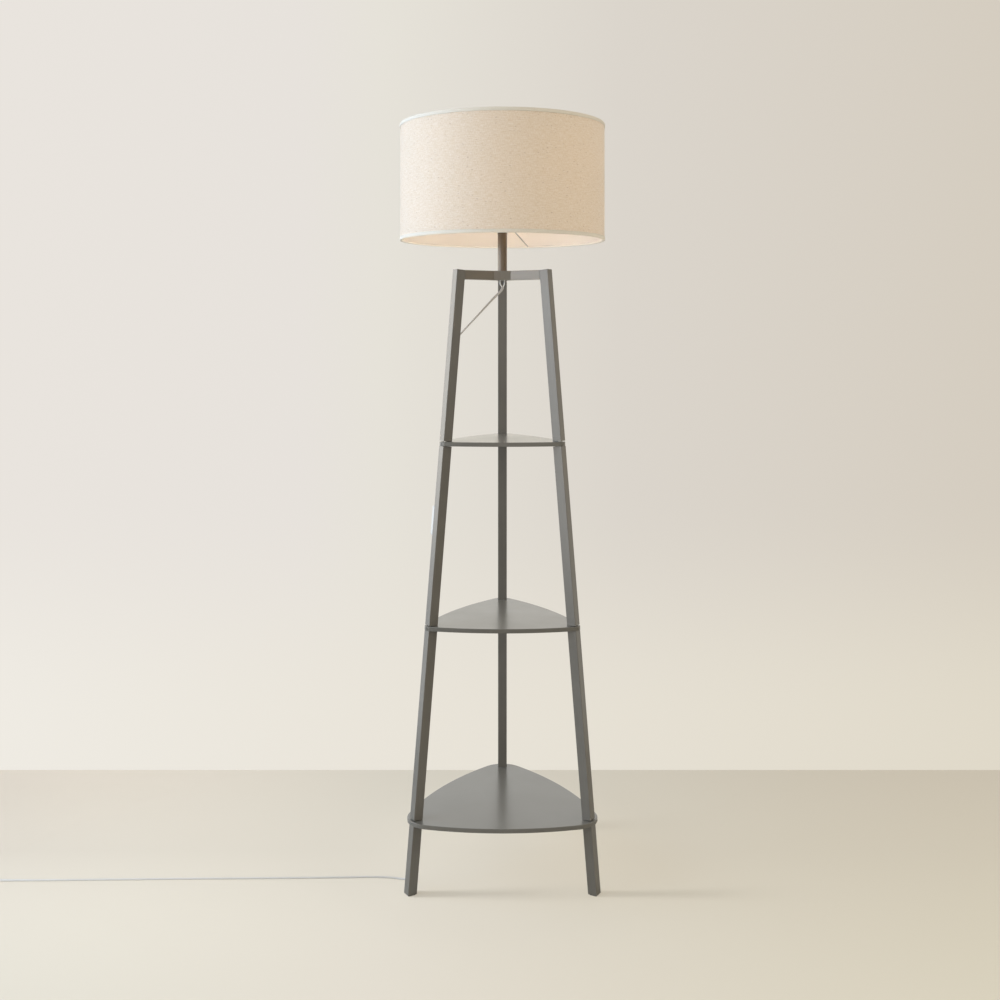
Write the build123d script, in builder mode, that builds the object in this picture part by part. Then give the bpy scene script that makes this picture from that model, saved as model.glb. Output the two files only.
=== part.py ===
"""Three-legged floor lamp with three shelves, built as separate pieces.

Millimetres, Z up. The origin is on the floor under the stem's axis and the front faces -Y.
Each leg is four square lengths screwed together through the shelves, and the upper lengths
meet a hub that carries a short stem, the lampholder and a drum shade. A flat two-core lead
leaves the hub, runs down behind the left leg past an inline switch, and ends in a plug.
"""
import math
import os

from build123d import *

os.makedirs("parts", exist_ok=True)

# Legs and shelves
leg_side = 20.0                 # square section of every leg length
leg_edge_radius = 1.0           # rounded long edges
leg_lean = 5.05                 # degrees outward from vertical
foot_radius = 219.0             # from the stem's axis to each leg's axis, at the floor
leg_azimuths = {"left": 210.0, "right": 330.0, "back": 90.0}
pad_side = 16.0
pad_thickness = 2.0
shelf_thickness = 9.0
shelf_edge_radius = 1.0
bottom_shelf_top = 152.0
middle_shelf_top = 548.0
top_shelf_top = 929.0
# A shelf's round corners cover the legs and its sides are long shallow bows: how far a corner
# reaches beyond the leg's axis, the corner's radius, and the side's radius
bottom_shelf_overhang, bottom_shelf_corner, bottom_shelf_bow = 14.5, 50.0, 640.0
middle_shelf_overhang, middle_shelf_corner, middle_shelf_bow = 14.0, 14.0, 600.0
top_shelf_overhang, top_shelf_corner, top_shelf_bow = 12.8, 14.0, 600.0
stud_radius = 4.0               # studs that join the leg lengths
stud_depth = 26.0               # into the leg length above
insert_radius = 6.0             # threaded inserts in the leg length below
insert_length = 22.0
insert_seat = 0.2               # insert's rim below the end of its leg length
stud_hole_gap = 0.5             # round a stud where it passes through a shelf
fit = 0.15                      # clearance round a pin, stud or insert

# Hub, arms and stem
hub_top = 1289.0
hub_height = 20.0
hub_arm_face = 26.0             # from the axis to the faces that the arms meet
hub_side_face = 21.8            # from the axis to the wide faces between the arms
hub_edge_radius = 0.8
arm_side = 20.0
leg_top_rise = 1.5              # leg tops above the arms' tops
dowel_radius = 4.0
dowel_depth = 14.0              # into the hub and into each end of an arm
dowel_leg_depth = 11.0
dowel_end_gap = 0.5
stem_radius = 10.0
stem_wall = 1.5
stem_length = 79.0
nipple_radius = 5.0             # threaded tube through hub and stem
nipple_bore_radius = 3.6
nipple_above_stem = 7.0
nut_flats = 14.0
nut_height = 4.0
washer_radius = 9.5
washer_thickness = 1.5
hub_recess_radius = 10.5
hub_recess_depth = 11.0
outlet_radius = 7.0
outlet_height = 2.5
outlet_bore_radius = 2.0

# Lampholder and bulb
holder_foot_radius = 14.0
holder_radius = 20.5
holder_wall = 1.8
holder_dome_height = 16.0
holder_height = 26.0
flange_radius = 24.5
flange_thickness = 3.0
skirt_radius = 19.5
skirt_bore_radius = 15.5
skirt_height = 34.0
core_height = 9.0
core_bore_radius = 2.5
shell_radius = 14.5
shell_wall = 0.8
shell_height = 24.0
contact_radius = 4.0
contact_height = 2.0
bulb_cap_radius = 13.2
bulb_cap_height = 26.0
bulb_tip_radius = 4.5
bulb_tip_height = 3.0
bulb_neck_radius = 14.2
bulb_radius = 30.0
bulb_height = 105.0
bulb_wall = 1.0

# Shade
shade_radius = 220.0
shade_height = 248.0
shade_drop = 43.3               # shade's bottom edge below its fitter
shade_wall = 0.8
trim_thickness = 0.6
trim_height = 9.0
trim_inner_height = 7.0
ring_wire = 4.0                 # diameter of the two ring wires
spoke_wire = 3.0
spoke_azimuths = (74.0, 194.0, 314.0)
fitter_radius = 30.0
fitter_thickness = 1.6
shade_nut_radius = 27.0
shade_nut_height = 6.0
shade_gap = 0.3                 # running gap between the turning shade and its holder

# Lead, switch and plug
cord_diameter = 5.5
lead_inset = 5.0                # the lead's line, from the leg's middle towards the stem
lead_hole_gap = 1.5             # round the lead where it passes through a shelf
switch_length = 62.0
switch_width = 22.0
switch_base_height = 5.5
switch_cover_height = 10.5
switch_middle = 762.0           # height of the switch's middle
switch_off_leg = 0.3
switch_corner = 4.0
rocker_length = 19.0
rocker_width = 11.0
rocker_gap = 0.5
rocker_tilt = 7.0               # degrees either side of level
rocker_depth = 4.5              # pivot below the cover's top
rocker_rise = 0.5               # middle of the rocker above the cover's top
rocker_dish = 1.0               # ends above the middle
rocker_pin_radius = 1.5
screw_radius = 1.6
screw_head_radius = 2.8
screw_head_height = 1.6
screw_inset = 7.0
clip_heights = (1110.0, 885.0, 640.0, 260.0)
clip_width = 9.0
clip_wall = 1.2
clip_bore_radius = 3.3
clip_rise = 3.6                 # lead's middle above the leg's face in a clip
clip_foot = 7.0
coil_radius = 36.0
coil_pitch = 6.1                # from turn to turn
coil_layer = 6.0                # from layer to layer
turns_in = 2.0
turns_out = 1.75
tie_width = 9.0
tie_thickness = 0.5
tie_gap = 0.2
plug_run = 34.0                 # from the coil's end to the plug, and how far aside
plug_aside = 4.5
plug_length = 34.0
plug_width = 26.0
plug_tail_width = 17.0
plug_thickness = 14.0
plug_sleeve_length = 20.0
plug_sleeve_radius = 4.8
pin_radius = 2.0
pin_length = 19.0
pin_spacing = 18.6

lean_slope = math.tan(math.radians(leg_lean))
lean_sine = math.sin(math.radians(leg_lean))
lean_cosine = math.cos(math.radians(leg_lean))
hub_bottom = hub_top - hub_height
stem_top = hub_top + stem_length
holder_top = stem_top + holder_height
flange_top = holder_top + flange_thickness
fitter_bottom = flange_top + shade_gap
shade_bottom = fitter_bottom - shade_drop
shade_top = shade_bottom + shade_height
cord_radius = cord_diameter / 2


def finish(name, part):
    """Label a finished piece and write it."""
    part.label = name
    export_step(part, f"parts/{name}.step")


# --- Legs -----------------------------------------------------------------------------------


def outward(azimuth):
    """Level unit vector away from the stem's axis."""
    side = math.radians(azimuth)
    return Vector(math.cos(side), math.sin(side), 0)


def leg_radius(height):
    """Distance from the stem's axis to a leg's axis at a height."""
    return foot_radius - height * lean_slope


def leg_plane(azimuth, height, up=True):
    """Square to a leg's axis at a height, with X pointing away from the stem."""
    away = outward(azimuth)
    axis = away * -lean_sine + Vector(0, 0, lean_cosine)
    return Plane(
        origin=away * leg_radius(height) + Vector(0, 0, height),
        x_dir=away * lean_cosine + Vector(0, 0, lean_sine),
        z_dir=axis if up else axis * -1,
    )


def level_plane(azimuth, radius, height, facing=1):
    """Upright plane square to an azimuth; a hole made from it has its mouth on that side."""
    away = outward(azimuth)
    return Plane(
        origin=away * radius + Vector(0, 0, height),
        x_dir=(0, 0, 1),
        z_dir=away * facing,
    )


# A square-cut end touches a level shelf with one edge, so its middle stops short of it
end_rise = leg_side / 2 * lean_sine
leg_lengths = {
    "foot": (pad_thickness, bottom_shelf_top - shelf_thickness - end_rise),
    "lower": (bottom_shelf_top + end_rise, middle_shelf_top - shelf_thickness - end_rise),
    "middle": (middle_shelf_top + end_rise, top_shelf_top - shelf_thickness - end_rise),
    "upper": (top_shelf_top + end_rise, hub_top + leg_top_rise - end_rise),
}
arm_middle = hub_top - arm_side / 2
leg_inner_face = leg_side / 2 / lean_cosine

for side_name, azimuth in leg_azimuths.items():
    for length_name, (low, high) in leg_lengths.items():
        # A foot starts below the pad's top and is mitred level there
        start = low - leg_side if length_name == "foot" else low
        with BuildPart() as leg:
            with BuildSketch(leg_plane(azimuth, start)):
                RectangleRounded(leg_side, leg_side, leg_edge_radius)
            extrude(amount=(high - start) / lean_cosine)
            if length_name == "foot":
                split(bisect_by=Plane.XY.offset(pad_thickness), keep=Keep.TOP)
            else:
                with Locations(leg_plane(azimuth, low, up=False)):
                    Hole(stud_radius + fit, depth=stud_depth + dowel_end_gap)
            if length_name == "upper":
                inner_face = leg_radius(arm_middle) - leg_inner_face
                with Locations(level_plane(azimuth, inner_face - 1, arm_middle, facing=-1)):
                    Hole(dowel_radius + fit, depth=dowel_leg_depth + dowel_end_gap + 1)
            else:
                with Locations(leg_plane(azimuth, high)):
                    Hole(insert_radius + fit, depth=insert_length + dowel_end_gap)
        finish(f"leg_{side_name}_{length_name}", leg.part)

    with BuildPart() as foot_pad:
        pad_middle = outward(azimuth) * leg_radius(pad_thickness)
        with BuildSketch(Plane(origin=pad_middle, x_dir=outward(azimuth), z_dir=(0, 0, 1))):
            RectangleRounded(pad_side, pad_side, leg_edge_radius * 2)
        extrude(amount=pad_thickness)
    finish(f"foot_pad_{side_name}", foot_pad.part)

# --- Lead's line down the left leg ------------------------------------------------------------

# The lead's points, chosen by hand: out of the hub, taut to the left leg, down its back face
# to the switch, on down to the floor, and away to the left in one long lazy line
upper_route = [
    (0.0, 0.0, 1269.0),
    (0.0, 0.0, 1252.0),
    (-105.3, -44.9, 1136.0),
    (-109.1, -47.3, 1085.0),
    (-127.1, -57.7, 850.0),
    (-131.55, -57.70, 805.79),
    (-132.57, -58.29, 792.47),
]
lower_route = [
    (-137.30, -61.02, 730.65),
    (-138.32, -61.61, 717.33),
    (-140.5, -65.4, 675.0),
    (-183.3, -90.1, 115.0),
    (-186.0, -88.5, 72.0),
    (-189.5, -77.0, 36.0),
    (-195.0, -60.0, 13.0),
    (-207.0, -45.5, 2.8),
    (-236.0, -35.5, 2.8),
    (-285.0, -33.5, 2.8),
    (-352.0, -36.5, 2.8),
    (-440.0, -38.5, 2.8),
    (-640.0, -41.5, 2.8),
    (-850.0, -46.5, 2.8),
    (-1000.0, -50.0, 3.1),
    (-1062.0, -50.5, 3.5),
    (-1112.0, -50.5, 3.5),
]
clip_bend_radius = 24.0         # where the taut lead turns down at the first clip


def route_on_leg(height):
    """The lead's point at a height on the left leg, on the straight run that passes there."""
    for upper, lower in zip(upper_route + lower_route, (upper_route + lower_route)[1:]):
        if lower[2] <= height <= upper[2]:
            share = (upper[2] - height) / (upper[2] - lower[2])
            return Vector(*upper) + (Vector(*lower) - Vector(*upper)) * share


# --- Shelves, with the studs and inserts that join the legs through them ---------------------

lead_hole_radius = cord_radius + lead_hole_gap
shelves = {
    "bottom": (bottom_shelf_top, bottom_shelf_overhang, bottom_shelf_corner, bottom_shelf_bow),
    "middle": (middle_shelf_top, middle_shelf_overhang, middle_shelf_corner, middle_shelf_bow),
    "top": (top_shelf_top, top_shelf_overhang, top_shelf_corner, top_shelf_bow),
}
for shelf_name, (top, overhang, corner, bow) in shelves.items():
    underside = top - shelf_thickness
    corner_middle = leg_radius(underside + shelf_thickness / 2) + overhang - corner
    # A side's arc touches the corners at its two ends
    bow_middle = math.sqrt((bow - corner) ** 2 - 0.75 * corner_middle**2) - corner_middle / 2
    with BuildPart() as shelf:
        with BuildSketch(Plane.XY.offset(underside)) as outline:
            for number, azimuth in enumerate(leg_azimuths.values()):
                # The side opposite a leg bows about a point on the leg's own side
                with Locations(outward(azimuth) * bow_middle):
                    Circle(bow, mode=Mode.ADD if number == 0 else Mode.INTERSECT)
            fillet(outline.vertices(), radius=corner)
        extrude(amount=shelf_thickness)
        rims = shelf.edges().group_by(Axis.Z)
        fillet(rims[0] + rims[-1], radius=shelf_edge_radius)
        for azimuth in leg_azimuths.values():
            with Locations(leg_plane(azimuth, top + shelf_edge_radius)):
                Hole(stud_radius + stud_hole_gap, depth=shelf_thickness + 3 * shelf_edge_radius)
        with Locations(Plane(origin=route_on_leg(underside + shelf_thickness / 2))):
            Hole(lead_hole_radius)
    finish(f"{shelf_name}_shelf", shelf.part)

    stud_low = underside - end_rise - insert_length + 2
    stud_high = top + end_rise + stud_depth * lean_cosine
    with BuildPart() as studs:
        for azimuth in leg_azimuths.values():
            with BuildSketch(leg_plane(azimuth, stud_low)):
                Circle(stud_radius)
            extrude(amount=(stud_high - stud_low) / lean_cosine)
    finish(f"{shelf_name}_shelf_studs", studs.part)

    insert_high = underside - end_rise - insert_seat
    with BuildPart() as inserts:
        for azimuth in leg_azimuths.values():
            with BuildSketch(leg_plane(azimuth, insert_high)):
                Circle(insert_radius)
                Circle(stud_radius + fit, mode=Mode.SUBTRACT)
            extrude(amount=-insert_length)
    finish(f"{shelf_name}_shelf_inserts", inserts.part)

# --- Hub and arms ---------------------------------------------------------------------------

nut_bottom = hub_bottom + hub_recess_depth - washer_thickness - nut_height
nipple_bottom = hub_bottom + outlet_height

with BuildPart() as hub:
    with BuildSketch(Plane.XY.offset(hub_bottom)) as hub_outline:
        # Wide faces look between the arms and narrow faces meet the arms
        far = 4 * hub_arm_face
        for number, azimuth in enumerate(leg_azimuths.values()):
            keep = Mode.ADD if number == 0 else Mode.INTERSECT
            with Locations(Location(outward(azimuth) * (hub_arm_face - far / 2), (0, 0, azimuth))):
                Rectangle(far, far, mode=keep)
        for azimuth in leg_azimuths.values():
            opposite = outward(azimuth + 180) * (hub_side_face - far / 2)
            with Locations(Location(opposite, (0, 0, azimuth + 180))):
                Rectangle(far, far, mode=Mode.INTERSECT)
    extrude(amount=hub_height)
    upright = hub.edges().filter_by(Axis.Z)
    fillet(upright, radius=hub_edge_radius)
    with Locations((0, 0, hub_top)):
        Hole(nipple_radius + fit)
    with Locations(Plane(origin=(0, 0, hub_bottom), z_dir=(0, 0, -1))):
        Hole(hub_recess_radius, depth=hub_recess_depth)
    for azimuth in leg_azimuths.values():
        with Locations(level_plane(azimuth, hub_arm_face, arm_middle)):
            Hole(dowel_radius + fit, depth=dowel_depth + dowel_end_gap)
finish("hub", hub.part)

for side_name, azimuth in leg_azimuths.items():
    away = outward(azimuth)
    inner_low = leg_radius(hub_top - arm_side) - leg_inner_face
    inner_high = leg_radius(hub_top) - leg_inner_face
    side_view = Plane(origin=(0, 0, 0), x_dir=away, z_dir=away.cross(Vector(0, 0, 1)))
    with BuildPart() as arm:
        with BuildSketch(side_view):
            with BuildLine():
                Polyline(
                    (hub_arm_face, hub_top - arm_side),
                    (inner_low, hub_top - arm_side),
                    (inner_high, hub_top),
                    (hub_arm_face, hub_top),
                    close=True,
                )
            make_face()
        extrude(amount=arm_side / 2, both=True)
        long_edges = arm.edges().filter_by(Axis((0, 0, 0), away))
        fillet(long_edges, radius=hub_edge_radius)
        with Locations(level_plane(azimuth, hub_arm_face, arm_middle, facing=-1)):
            Hole(dowel_radius + fit, depth=dowel_depth + dowel_end_gap)
        outer_end = leg_radius(arm_middle) - leg_inner_face
        with Locations(level_plane(azimuth, outer_end + 1, arm_middle)):
            Hole(dowel_radius + fit, depth=dowel_depth + dowel_end_gap + 1)
    finish(f"arm_{side_name}", arm.part)

with BuildPart() as hub_dowels:
    for azimuth in leg_azimuths.values():
        with BuildSketch(level_plane(azimuth, hub_arm_face, arm_middle)):
            Circle(dowel_radius)
        extrude(amount=dowel_depth, both=True)
finish("hub_dowels", hub_dowels.part)

with BuildPart() as arm_dowels:
    for azimuth in leg_azimuths.values():
        outer_end = leg_radius(arm_middle) - leg_inner_face
        with BuildSketch(level_plane(azimuth, outer_end - dowel_depth, arm_middle)):
            Circle(dowel_radius)
        extrude(amount=dowel_depth + dowel_leg_depth)
finish("arm_dowels", arm_dowels.part)

# --- Stem, and the threaded tube that clamps it to the hub ------------------------------------

nipple_top = stem_top + nipple_above_stem

with BuildPart() as stem:
    with BuildSketch(Plane.XY.offset(hub_top)):
        Circle(stem_radius)
        Circle(stem_radius - stem_wall, mode=Mode.SUBTRACT)
    extrude(amount=stem_top - hub_top)
finish("stem", stem.part)

with BuildPart() as nipple:
    with BuildSketch(Plane.XY.offset(nipple_bottom)):
        Circle(nipple_radius)
        Circle(nipple_bore_radius, mode=Mode.SUBTRACT)
    extrude(amount=nipple_top - nipple_bottom)
finish("nipple", nipple.part)

with BuildPart() as nipple_nut:
    with BuildSketch(Plane.XY.offset(nut_bottom)):
        RegularPolygon(nut_flats / 2, 6, major_radius=False)
        Circle(nipple_radius + fit, mode=Mode.SUBTRACT)
    extrude(amount=nut_height)
finish("nipple_nut", nipple_nut.part)

with BuildPart() as nipple_washer:
    with BuildSketch(Plane.XY.offset(nut_bottom + nut_height)):
        Circle(washer_radius)
        Circle(nipple_radius + fit, mode=Mode.SUBTRACT)
    extrude(amount=washer_thickness)
finish("nipple_washer", nipple_washer.part)

with BuildPart() as lead_outlet:
    with BuildSketch(Plane.XY.offset(hub_bottom)):
        Circle(outlet_radius)
        Circle(outlet_bore_radius, mode=Mode.SUBTRACT)
    extrude(amount=outlet_height)
    fillet(lead_outlet.edges().group_by(Axis.Z)[0].sort_by(Edge.length)[-1], radius=0.8)
finish("lead_outlet", lead_outlet.part)

# --- Lampholder -----------------------------------------------------------------------------

skirt_top = flange_top + skirt_height - flange_thickness
core_top = flange_top - 1.0
core_bottom = core_top - core_height
shell_bottom = core_top
contact_top = core_top + contact_height


def turned(sections):
    """Turn a closed outline of (radius, height) points round the stem's axis."""
    with BuildSketch(Plane.XZ) as outline:
        with BuildLine():
            Polyline(*sections, close=True)
        make_face()
    return revolve(outline.sketch, axis=Axis.Z)


with BuildPart() as lampholder_cap:
    dome_top = stem_top + holder_dome_height
    with BuildSketch(Plane.XZ):
        with BuildLine():
            Line((nipple_radius + fit, stem_top), (holder_foot_radius, stem_top))
            EllipticalCenterArc(
                (holder_foot_radius, dome_top),
                holder_radius - holder_foot_radius,
                holder_dome_height,
                start_angle=270,
                arc_size=90,
            )
            Polyline(
                (holder_radius, dome_top),
                (holder_radius, holder_top),
                (holder_radius - holder_wall, holder_top),
                (holder_radius - holder_wall, dome_top),
            )
            EllipticalCenterArc(
                (holder_foot_radius, dome_top),
                holder_radius - holder_foot_radius - holder_wall,
                holder_dome_height - holder_wall,
                start_angle=270,
                arc_size=90,
            )
            Polyline(
                (holder_foot_radius, stem_top + holder_wall),
                (nipple_radius + fit, stem_top + holder_wall),
                (nipple_radius + fit, stem_top),
            )
        make_face()
    revolve(axis=Axis.Z)
finish("lampholder_cap", lampholder_cap.part)

with BuildPart() as lampholder_skirt:
    turned(
        [
            (skirt_bore_radius, holder_top),
            (flange_radius, holder_top),
            (flange_radius, flange_top),
            (skirt_radius, flange_top),
            (skirt_radius, skirt_top),
            (skirt_bore_radius, skirt_top),
        ]
    )
    chamfer(lampholder_skirt.edges().group_by(Axis.Z)[-1], length=0.6)
finish("lampholder_skirt", lampholder_skirt.part)

with BuildPart() as lampholder_core:
    with BuildSketch(Plane.XY.offset(core_bottom)):
        Circle(skirt_bore_radius - fit)
        Circle(core_bore_radius, mode=Mode.SUBTRACT)
    extrude(amount=core_height)
finish("lampholder_core", lampholder_core.part)

with BuildPart() as contact_shell:
    with BuildSketch(Plane.XY.offset(shell_bottom)):
        Circle(shell_radius)
        Circle(shell_radius - shell_wall, mode=Mode.SUBTRACT)
    extrude(amount=shell_height)
finish("contact_shell", contact_shell.part)

with BuildPart() as centre_contact:
    with BuildSketch(Plane.XY.offset(core_top)):
        Circle(contact_radius)
    extrude(amount=contact_height)
    with BuildSketch(Plane.XY.offset(core_top)):
        Circle(core_bore_radius - fit)
    extrude(amount=-core_height / 2)
    chamfer(centre_contact.edges().group_by(Axis.Z)[-1], length=0.6)
finish("centre_contact", centre_contact.part)

# --- Bulb -----------------------------------------------------------------------------------

bulb_bottom = contact_top + shade_gap
cap_bottom = bulb_bottom + bulb_tip_height
cap_top = bulb_bottom + bulb_cap_height
bulb_middle = bulb_bottom + bulb_height - bulb_radius

with BuildPart() as bulb_cap:
    turned(
        [
            (0, bulb_bottom),
            (bulb_tip_radius, bulb_bottom),
            (bulb_tip_radius + 1, cap_bottom),
            (bulb_cap_radius - 2, cap_bottom),
            (bulb_cap_radius, cap_bottom + 2.5),
            (bulb_cap_radius, cap_top),
            (bulb_cap_radius - bulb_wall, cap_top),
            (bulb_cap_radius - bulb_wall, cap_bottom + 3.0),
            (bulb_cap_radius - 3, cap_bottom + bulb_wall),
            (0, cap_bottom + bulb_wall),
        ]
    )
finish("bulb_cap", bulb_cap.part)

with BuildPart() as bulb_globe:
    neck_foot = bulb_cap_radius - 0.4
    neck_top = cap_top + 9
    shoulder_angle = 32
    shoulder = Vector(
        bulb_radius * math.cos(math.radians(shoulder_angle)),
        bulb_middle - bulb_radius * math.sin(math.radians(shoulder_angle)),
    )
    with BuildSketch(Plane.XZ):
        with BuildLine():
            Line((0, cap_top), (neck_foot, cap_top))
            Line((neck_foot, cap_top), (bulb_neck_radius, neck_top))
            # The neck flares into the round top
            Spline(
                (bulb_neck_radius, neck_top),
                shoulder,
                tangents=[
                    (bulb_neck_radius - neck_foot, neck_top - cap_top),
                    (math.sin(math.radians(shoulder_angle)), math.cos(math.radians(shoulder_angle))),
                ],
            )
            CenterArc((0, bulb_middle), bulb_radius, -shoulder_angle, 90 + shoulder_angle)
            Line((0, bulb_middle + bulb_radius), (0, cap_top))
        make_face()
    revolve(axis=Axis.Z)
    # Blown glass, open only at the neck where the cap closes it
    offset(amount=-bulb_wall, openings=bulb_globe.faces().sort_by(Axis.Z)[0])
finish("bulb_globe", bulb_globe.part)

# --- Shade ----------------------------------------------------------------------------------

drum_radius = shade_radius - trim_thickness
drum_bottom = shade_bottom + trim_thickness
drum_top = shade_top - trim_thickness
ring_radius = drum_radius - shade_wall - fit - ring_wire / 2
bottom_ring_height = drum_bottom + fit + ring_wire / 2
top_ring_height = drum_top - fit - ring_wire / 2
trim_inner_radius = ring_radius - ring_wire / 2 - fit
fitter_bore_radius = skirt_radius + shade_gap * 2
nut_seat = fitter_bottom + fitter_thickness + shade_gap

with BuildPart() as shade_drum:
    with BuildSketch(Plane.XY.offset(drum_bottom)):
        Circle(drum_radius)
        Circle(drum_radius - shade_wall, mode=Mode.SUBTRACT)
    extrude(amount=drum_top - drum_bottom)
finish("shade_drum", shade_drum.part)

trims = {"bottom": (shade_bottom, 1), "top": (shade_top, -1)}
for trim_name, (edge, inward) in trims.items():
    with BuildPart() as trim:
        # The tape covers the drum's edge and the ring wire: a channel with a short inner leg
        turned(
            [
                (shade_radius, edge),
                (shade_radius, edge + inward * trim_height),
                (drum_radius, edge + inward * trim_height),
                (drum_radius, edge + inward * trim_thickness),
                (trim_inner_radius, edge + inward * trim_thickness),
                (trim_inner_radius, edge + inward * trim_inner_height),
                (trim_inner_radius - trim_thickness, edge + inward * trim_inner_height),
                (trim_inner_radius - trim_thickness, edge),
            ]
        )
        if trim_name == "bottom":
            # Slits in the inner leg, where the spokes reach the ring
            slit_middle = shade_bottom + trim_thickness + trim_height / 2
            for azimuth in spoke_azimuths:
                with Locations(level_plane(azimuth, trim_inner_radius, slit_middle)):
                    Box(trim_height, spoke_wire + 1.2, 4 * trim_thickness, mode=Mode.SUBTRACT)
    finish(f"shade_trim_{trim_name}", trim.part)

with BuildPart() as shade_top_ring:
    with BuildSketch(Plane.XZ):
        with Locations((ring_radius, top_ring_height)):
            RegularPolygon(ring_wire / 2, 8)
    revolve(axis=Axis.Z)
finish("shade_top_ring", shade_top_ring.part)

with BuildPart() as shade_frame:
    with BuildSketch(Plane.XZ):
        with Locations((ring_radius, bottom_ring_height)):
            RegularPolygon(ring_wire / 2, 8)
    revolve(axis=Axis.Z)
    with BuildSketch(Plane.XY.offset(fitter_bottom)):
        Circle(fitter_radius)
        Circle(fitter_bore_radius, mode=Mode.SUBTRACT)
    extrude(amount=fitter_thickness)
    for azimuth in spoke_azimuths:
        inner_end = outward(azimuth) * (fitter_radius - 2)
        inner_end += Vector(0, 0, fitter_bottom + fitter_thickness / 2)
        outer_end = outward(azimuth) * ring_radius + Vector(0, 0, bottom_ring_height)
        run = outer_end - inner_end
        with BuildSketch(Plane(origin=inner_end, z_dir=run)):
            RegularPolygon(spoke_wire / 2, 8)
        extrude(amount=run.length)
finish("shade_frame", shade_frame.part)

with BuildPart() as shade_nut:
    with BuildSketch(Plane.XY.offset(nut_seat)):
        Circle(shade_nut_radius)
        with PolarLocations(shade_nut_radius + 1.2, 24):
            Circle(2.0, mode=Mode.SUBTRACT)
        Circle(skirt_radius + fit, mode=Mode.SUBTRACT)
    extrude(amount=shade_nut_height)
finish("shade_nut", shade_nut.part)

# --- Lead -----------------------------------------------------------------------------------


def corner_radii(points, tightest=None):
    """Largest arc that each corner's two runs allow, or a set radius at named corners."""
    tightest = tightest or {}
    radii = []
    for number in range(1, len(points) - 1):
        before = Vector(*points[number]) - Vector(*points[number - 1])
        after = Vector(*points[number + 1]) - Vector(*points[number])
        turn = math.radians(before.get_angle(after))
        largest = 0.45 * min(before.length, after.length) / math.tan(turn / 2)
        radii.append(min(largest, tightest.get(number, largest)))
    return radii


def lead_tube(name, points, tightest=None):
    """A lead's tube along straight runs joined by tangent arcs; prints its figures."""
    radii = corner_radii(points, tightest)
    with BuildPart() as tube:
        with BuildLine() as route:
            FilletPolyline(*points, radius=radii)
        line = route.wire()
        with BuildSketch(Plane(origin=line @ 0, z_dir=line % 0)):
            Circle(cord_radius)
        sweep(path=line)
    section = math.pi * cord_radius**2
    print(f"{name}: length {line.length:.1f}, volume over section {tube.part.volume / section:.1f}")
    print("  radii", " ".join(f"{radius:.0f}" for radius in radii))
    finish(name, tube.part)
    return line.length


upper_length = lead_tube("lead_upper", upper_route, {2: clip_bend_radius})
lower_length = lead_tube("lead_lower", lower_route)

# The coil starts where the lead's last run ends and lies to the front of it
coil_start = Vector(*lower_route[-1])
coil_middle = coil_start + Vector(-cord_diameter, -coil_radius, 0)
inner_radius = coil_radius - coil_pitch * turns_in
turns = turns_in + 0.5 + turns_out
plug_axis_height = plug_thickness / 2


def coil_point(turn):
    """The coil's line: in for some turns, up a layer in half a turn, and out again."""
    climb = min(max((turn - turns_in) / 0.5, 0), 1)
    if turn <= turns_in:
        radius = coil_radius - coil_pitch * turn
    elif turn <= turns_in + 0.5:
        radius = inner_radius - coil_pitch / 2 * climb * (1 - climb)
    else:
        radius = inner_radius + coil_pitch * (turn - turns_in - 0.5)
    angle = math.radians(90 + 360 * turn)
    height = coil_layer * (3 * climb**2 - 2 * climb**3)
    return coil_middle + Vector(radius * math.cos(angle), radius * math.sin(angle), height)


def coil_direction(turn):
    """Direction of the coil's line, level at both ends of the climb."""
    step = 0.001
    return (coil_point(turn + step) - coil_point(turn - step)).normalized()


def biarc(start, start_way, end, end_way):
    """Two arcs that join two points smoothly."""
    chord = end - start
    bend = 2 * (1 - start_way.dot(end_way))
    along = chord.dot(start_way + end_way)
    reach = (-along + math.sqrt(along**2 + bend * chord.dot(chord))) / bend
    before = start + start_way * reach
    after = end - end_way * reach
    joint = (before + after) * 0.5
    TangentArc(start, joint, tangent=start_way)
    TangentArc(joint, end, tangent=after - before)


quarter_turns = round(turns * 4)
tail_start = coil_point(turns)
tail_end = Vector(tail_start.X - plug_aside, tail_start.Y - plug_run, plug_axis_height)
plug_entry = tail_end + Vector(0, -cord_diameter, 0)
with BuildPart() as lead_coil:
    with BuildLine() as coil_line:
        first = coil_point(0)
        Line(coil_start, first)
        knots = [first] + [coil_point(number / 4) for number in range(1, quarter_turns + 1)]
        ways = [Vector(-1, 0, 0)]
        ways += [coil_direction(number / 4) for number in range(1, quarter_turns + 1)]
        for number in range(quarter_turns):
            biarc(knots[number], ways[number], knots[number + 1], ways[number + 1])
        biarc(tail_start, ways[-1], tail_end, Vector(0, -1, 0))
        Line(tail_end, plug_entry)
    coil_wire = coil_line.wire()
    with BuildSketch(Plane(origin=coil_wire @ 0, z_dir=coil_wire % 0)):
        Circle(cord_radius)
    sweep(path=coil_wire)
coil_length = coil_wire.length
finish("lead_coil", lead_coil.part)

# Least gap from the coil to itself, on points at least half a turn apart
samples = [coil_wire.position_at(number / 400) for number in range(401)]
apart = round(400 * math.pi * inner_radius / coil_length)
least = min(
    (samples[first] - samples[second]).length
    for first in range(401)
    for second in range(first + apart, 401)
)
print(f"lead_coil: length {coil_length:.1f}, least gap to itself {least - cord_diameter:.2f}")
section = math.pi * cord_radius**2
print(f"  volume over section {lead_coil.part.volume / section:.1f}")
total = upper_length + switch_length + lower_length + coil_length
print(f"lead, with its length inside the switch: {total:.0f}")

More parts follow.
